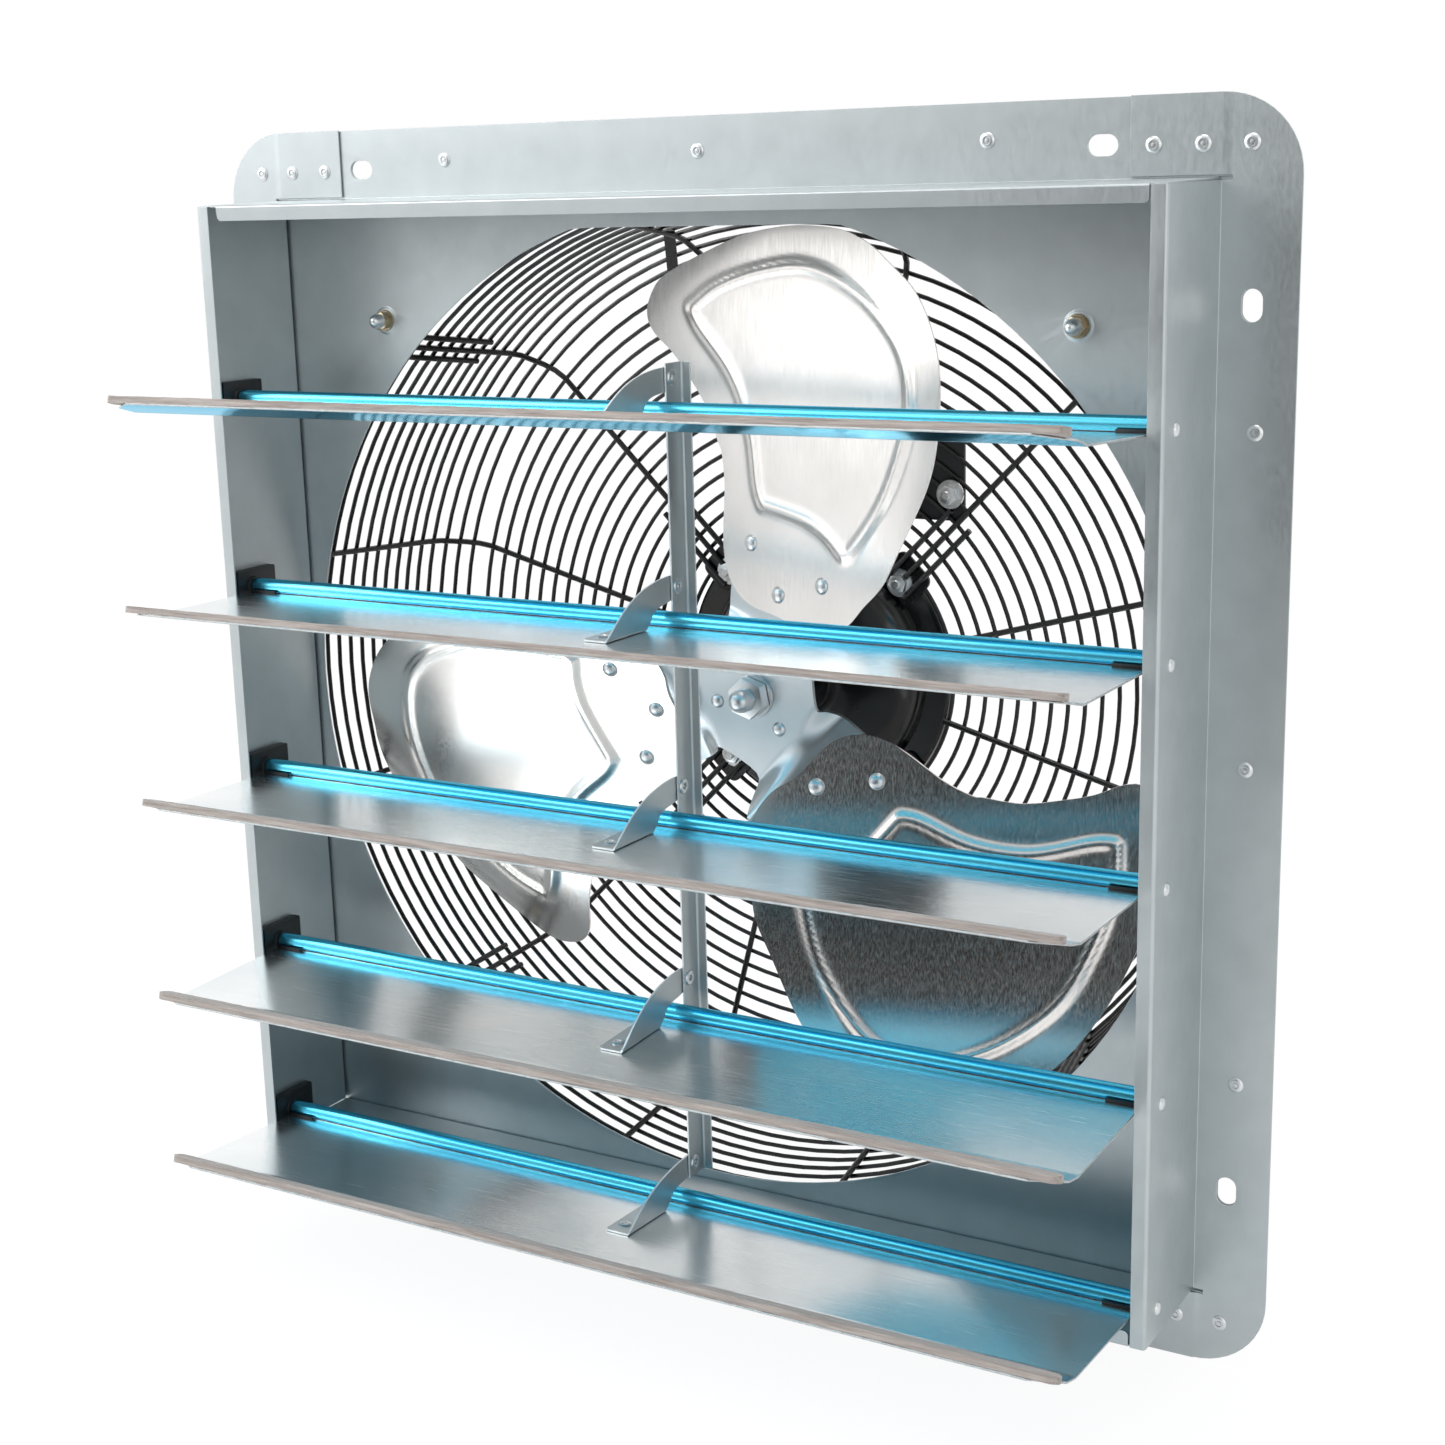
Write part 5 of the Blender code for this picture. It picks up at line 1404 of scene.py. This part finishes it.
# %% Pivot blocks
plate_low, plate_high = 309.5 * mm, 315.5 * mm
boss_sunk = 0.2 * mm
boss = turned([(0, 0), (6, 0), (5.4, 1.6), (3.4, 2.2), (3.4, 25.6), (2.38, 26.4), (0, 26.5)])
for word, side in sides:
    for number, height in enumerate(louvre_heights, 1):
        low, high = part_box(f"pivot_block_{word}_{number}")
        deep, tall = high.y - low.y, high.z - low.z
        shape = moulded_block(deep, plate_high - plate_low, tall, (0, 0, 0), 1 * mm, 0.5 * mm)
        middle = (side * plate_low, (low.y + high.y) / 2, (low.z + high.z) / 2)
        shape.transform(Matrix.Translation(middle) @ turn_by(-90 * side, "Z"))
        stamp(shape, boss, [facing((side * (plate_low + boss_sunk), pivot_line, height), (-side, 0, 0))])
        piece = put(f"pivot_{word}_{number}", shape, [nylon], "housing", [f"pivot_block_{word}_{number}"],
                    35)
print("10 pivot blocks, last from", [round(v / mm, 1) for v in low], "to", [round(v / mm, 1) for v in high])

# %% [markdown]
# A black nylon bar lies at each end of a roll, in front of the hem: it stands for the roll's end plug and is
# also painted shade.

# %% Roll plugs and painted shade
# Each bar also paints the dark shade and mirrored pivot block seen on the plate beneath the roll's end.
plug_shade_length = 20 * mm
plug_shade_depth = 1.6 * mm
plug_shade_height = 1.8 * mm
plug_shade_gap = 0.3 * mm
for word, side in sides:
    for number, height in enumerate(louvre_heights, 1):
        place = (side * (louvre_half - plug_shade_length / 2), pivot_line - roll_radius - plug_shade_depth / 2,
                 height - roll_radius + sheet + plug_shade_height / 2 + plug_shade_gap)
        shape = block(plug_shade_length, plug_shade_depth, plug_shade_height)
        soften(shape, shape.edges[:], 0.4 * mm, 2)
        bmesh.ops.translate(shape, vec=place, verts=shape.verts[:])
        let_droop(shape, number, height)
        piece = put(f"roll_plug_shade_{word}_{number}", shape, [nylon], f"louvre_{number}")
print("10 roll plugs of", len(piece.data.polygons), "faces")

# %% [markdown]
# ## Floor, background and light
# The background is plain white, from the world and the floor, not from strong lamps. Sheet
# metal is mostly what it mirrors, so the room's brightness by direction matters more than the
# lamps: bright to the left, to the right, behind and above, and darker straight in front.

# %% Floor
floor_height = -361 * mm
floor_size = 24


def studio_sheet(name, finish, pose):
    """Flat sheet, 1 m square before its pose, that rides on none of the fan's bodies."""
    shape = bmesh.new()
    bmesh.ops.create_grid(shape, x_segments=1, y_segments=1, size=0.5)
    shape.transform(pose)
    mesh = bpy.data.meshes.new(name)
    shape.to_mesh(mesh)
    shape.free()
    mesh.materials.append(finish)
    made = add_object(name, mesh)
    return made


def combine(tree, operation, first, second):
    """Arithmetic on two values or outputs."""
    return node(tree, "ShaderNodeMath", {0: first, 1: second}, operation=operation)


paper = bpy.data.materials.new("white paper floor")
paper.use_nodes = True
tree = paper.node_tree
tree.nodes.clear()
path = tree.nodes.new("ShaderNodeLightPath")
glossy = combine(tree, "MULTIPLY", path.outputs["Is Glossy Ray"], 0.55)
mirrored = combine(tree, "MAXIMUM", path.outputs["Is Camera Ray"], glossy)
passed = combine(tree, "MAXIMUM", mirrored, path.outputs["Is Transmission Ray"])
share = combine(tree, "MULTIPLY", passed, 0.9)
matt = node(tree, "ShaderNodeBsdfDiffuse", {"Color": linear("#f4f4f4")})
glow = node(tree, "ShaderNodeEmission", {"Color": (1, 1, 1, 1), "Strength": 1.03})
both = node(tree, "ShaderNodeMixShader", {0: share, 1: matt, 2: glow})
node(tree, "ShaderNodeOutputMaterial", {"Surface": both})
floor_pose = Matrix.Translation((0, 0, floor_height)) @ Matrix.Diagonal((floor_size, floor_size, 1, 1))
studio_sheet("floor", paper, floor_pose)

# %% [markdown]
# Someone dark stands in front of the fan while it is photographed. A black card takes that
# place: only mirror-like surfaces see it, and it throws no shadow.

# %% Black cards
black, tree, shader = new_finish("black card", "#0b0b0c", 0.0, 0.9)


def black_card(name, left, right, low, high):
    """Upright card 1.5 m in front of the fan."""
    size = Matrix.Diagonal((right - left, high - low, 1, 1))
    middle = ((left + right) / 2, -1.5, (low + high) / 2)
    card = studio_sheet(name, black, Matrix.Translation(middle) @ turn_by(90, "X") @ size)
    card.visible_camera = False
    card.visible_diffuse = False
    card.visible_transmission = False
    card.visible_shadow = False


black_card("tall card", -0.30, 0.52, -0.36, 0.48)
black_card("low card", -0.62, -0.30, -0.36, 0.10)

# %% World
room = bpy.data.worlds.new("white room")
bpy.context.scene.world = room
room.use_nodes = True
tree = room.node_tree
tree.nodes.clear()
direction = node(tree, "ShaderNodeTexCoord", output=0)


def patch(level, towards, inner, outer, change):
    """Changes the level inside a cone, fading out from its inner to its outer angle in degrees."""
    share = node(tree, "ShaderNodeVectorMath", {0: direction, 1: Vector(towards).normalized()}, output=1,
                 operation="DOT_PRODUCT")
    step = node(tree, "ShaderNodeMapRange", {"Value": share, "From Min": math.cos(math.radians(outer)),
                                             "From Max": math.cos(math.radians(inner)), "To Min": 0.0,
                                             "To Max": change}, interpolation_type="SMOOTHSTEP")
    return combine(tree, "ADD", level, step)


level = patch(0.74, (-0.95, -0.3, -0.03), 15, 46, 0.74)
level = patch(level, (0.75, -0.65, 0), 15, 45, 0.7)
level = patch(level, (0.35, 0.93, 0), 12, 45, 0.5)
level = patch(level, (-0.45, 0.75, 0.5), 10, 38, 0.4)
level = patch(level, (0, -0.3, 1), 20, 60, 0.2)
level = patch(level, (0, -1, 0.12), 5, 20, -0.4)
path = tree.nodes.new("ShaderNodeLightPath")
see_through = combine(tree, "MAXIMUM", path.outputs["Is Camera Ray"], path.outputs["Is Transmission Ray"])
level = node(tree, "ShaderNodeMix", {0: see_through, 2: level, 3: 1.0}, data_type="FLOAT")
sky = node(tree, "ShaderNodeBackground", {"Color": (1, 1, 1, 1), "Strength": level})
node(tree, "ShaderNodeOutputWorld", {"Surface": sky})


# %% Lamps
def soft_lamp(name, place, target, size, power):
    """Square lamp aimed at a target."""
    lamp = bpy.data.lights.new(name, "AREA")
    lamp.shape = "SQUARE"
    lamp.size = size
    lamp.energy = power
    holder = add_object(name, lamp)
    aim = (Vector(target) - Vector(place)).to_track_quat("-Z", "Y").to_matrix().to_4x4()
    holder.matrix_world = Matrix.Translation(place) @ aim


soft_lamp("left softbox", (-2.2, -1.2, 1.4), (0, 0, 0), 1.6, 22)
soft_lamp("front softbox", (-1.1, -1.4, 1.2), (0, 0, 0), 0.9, 9)
soft_lamp("top softbox", (0.2, -0.4, 2.4), (0, 0, 0), 1.4, 14)
print("lamps ready")
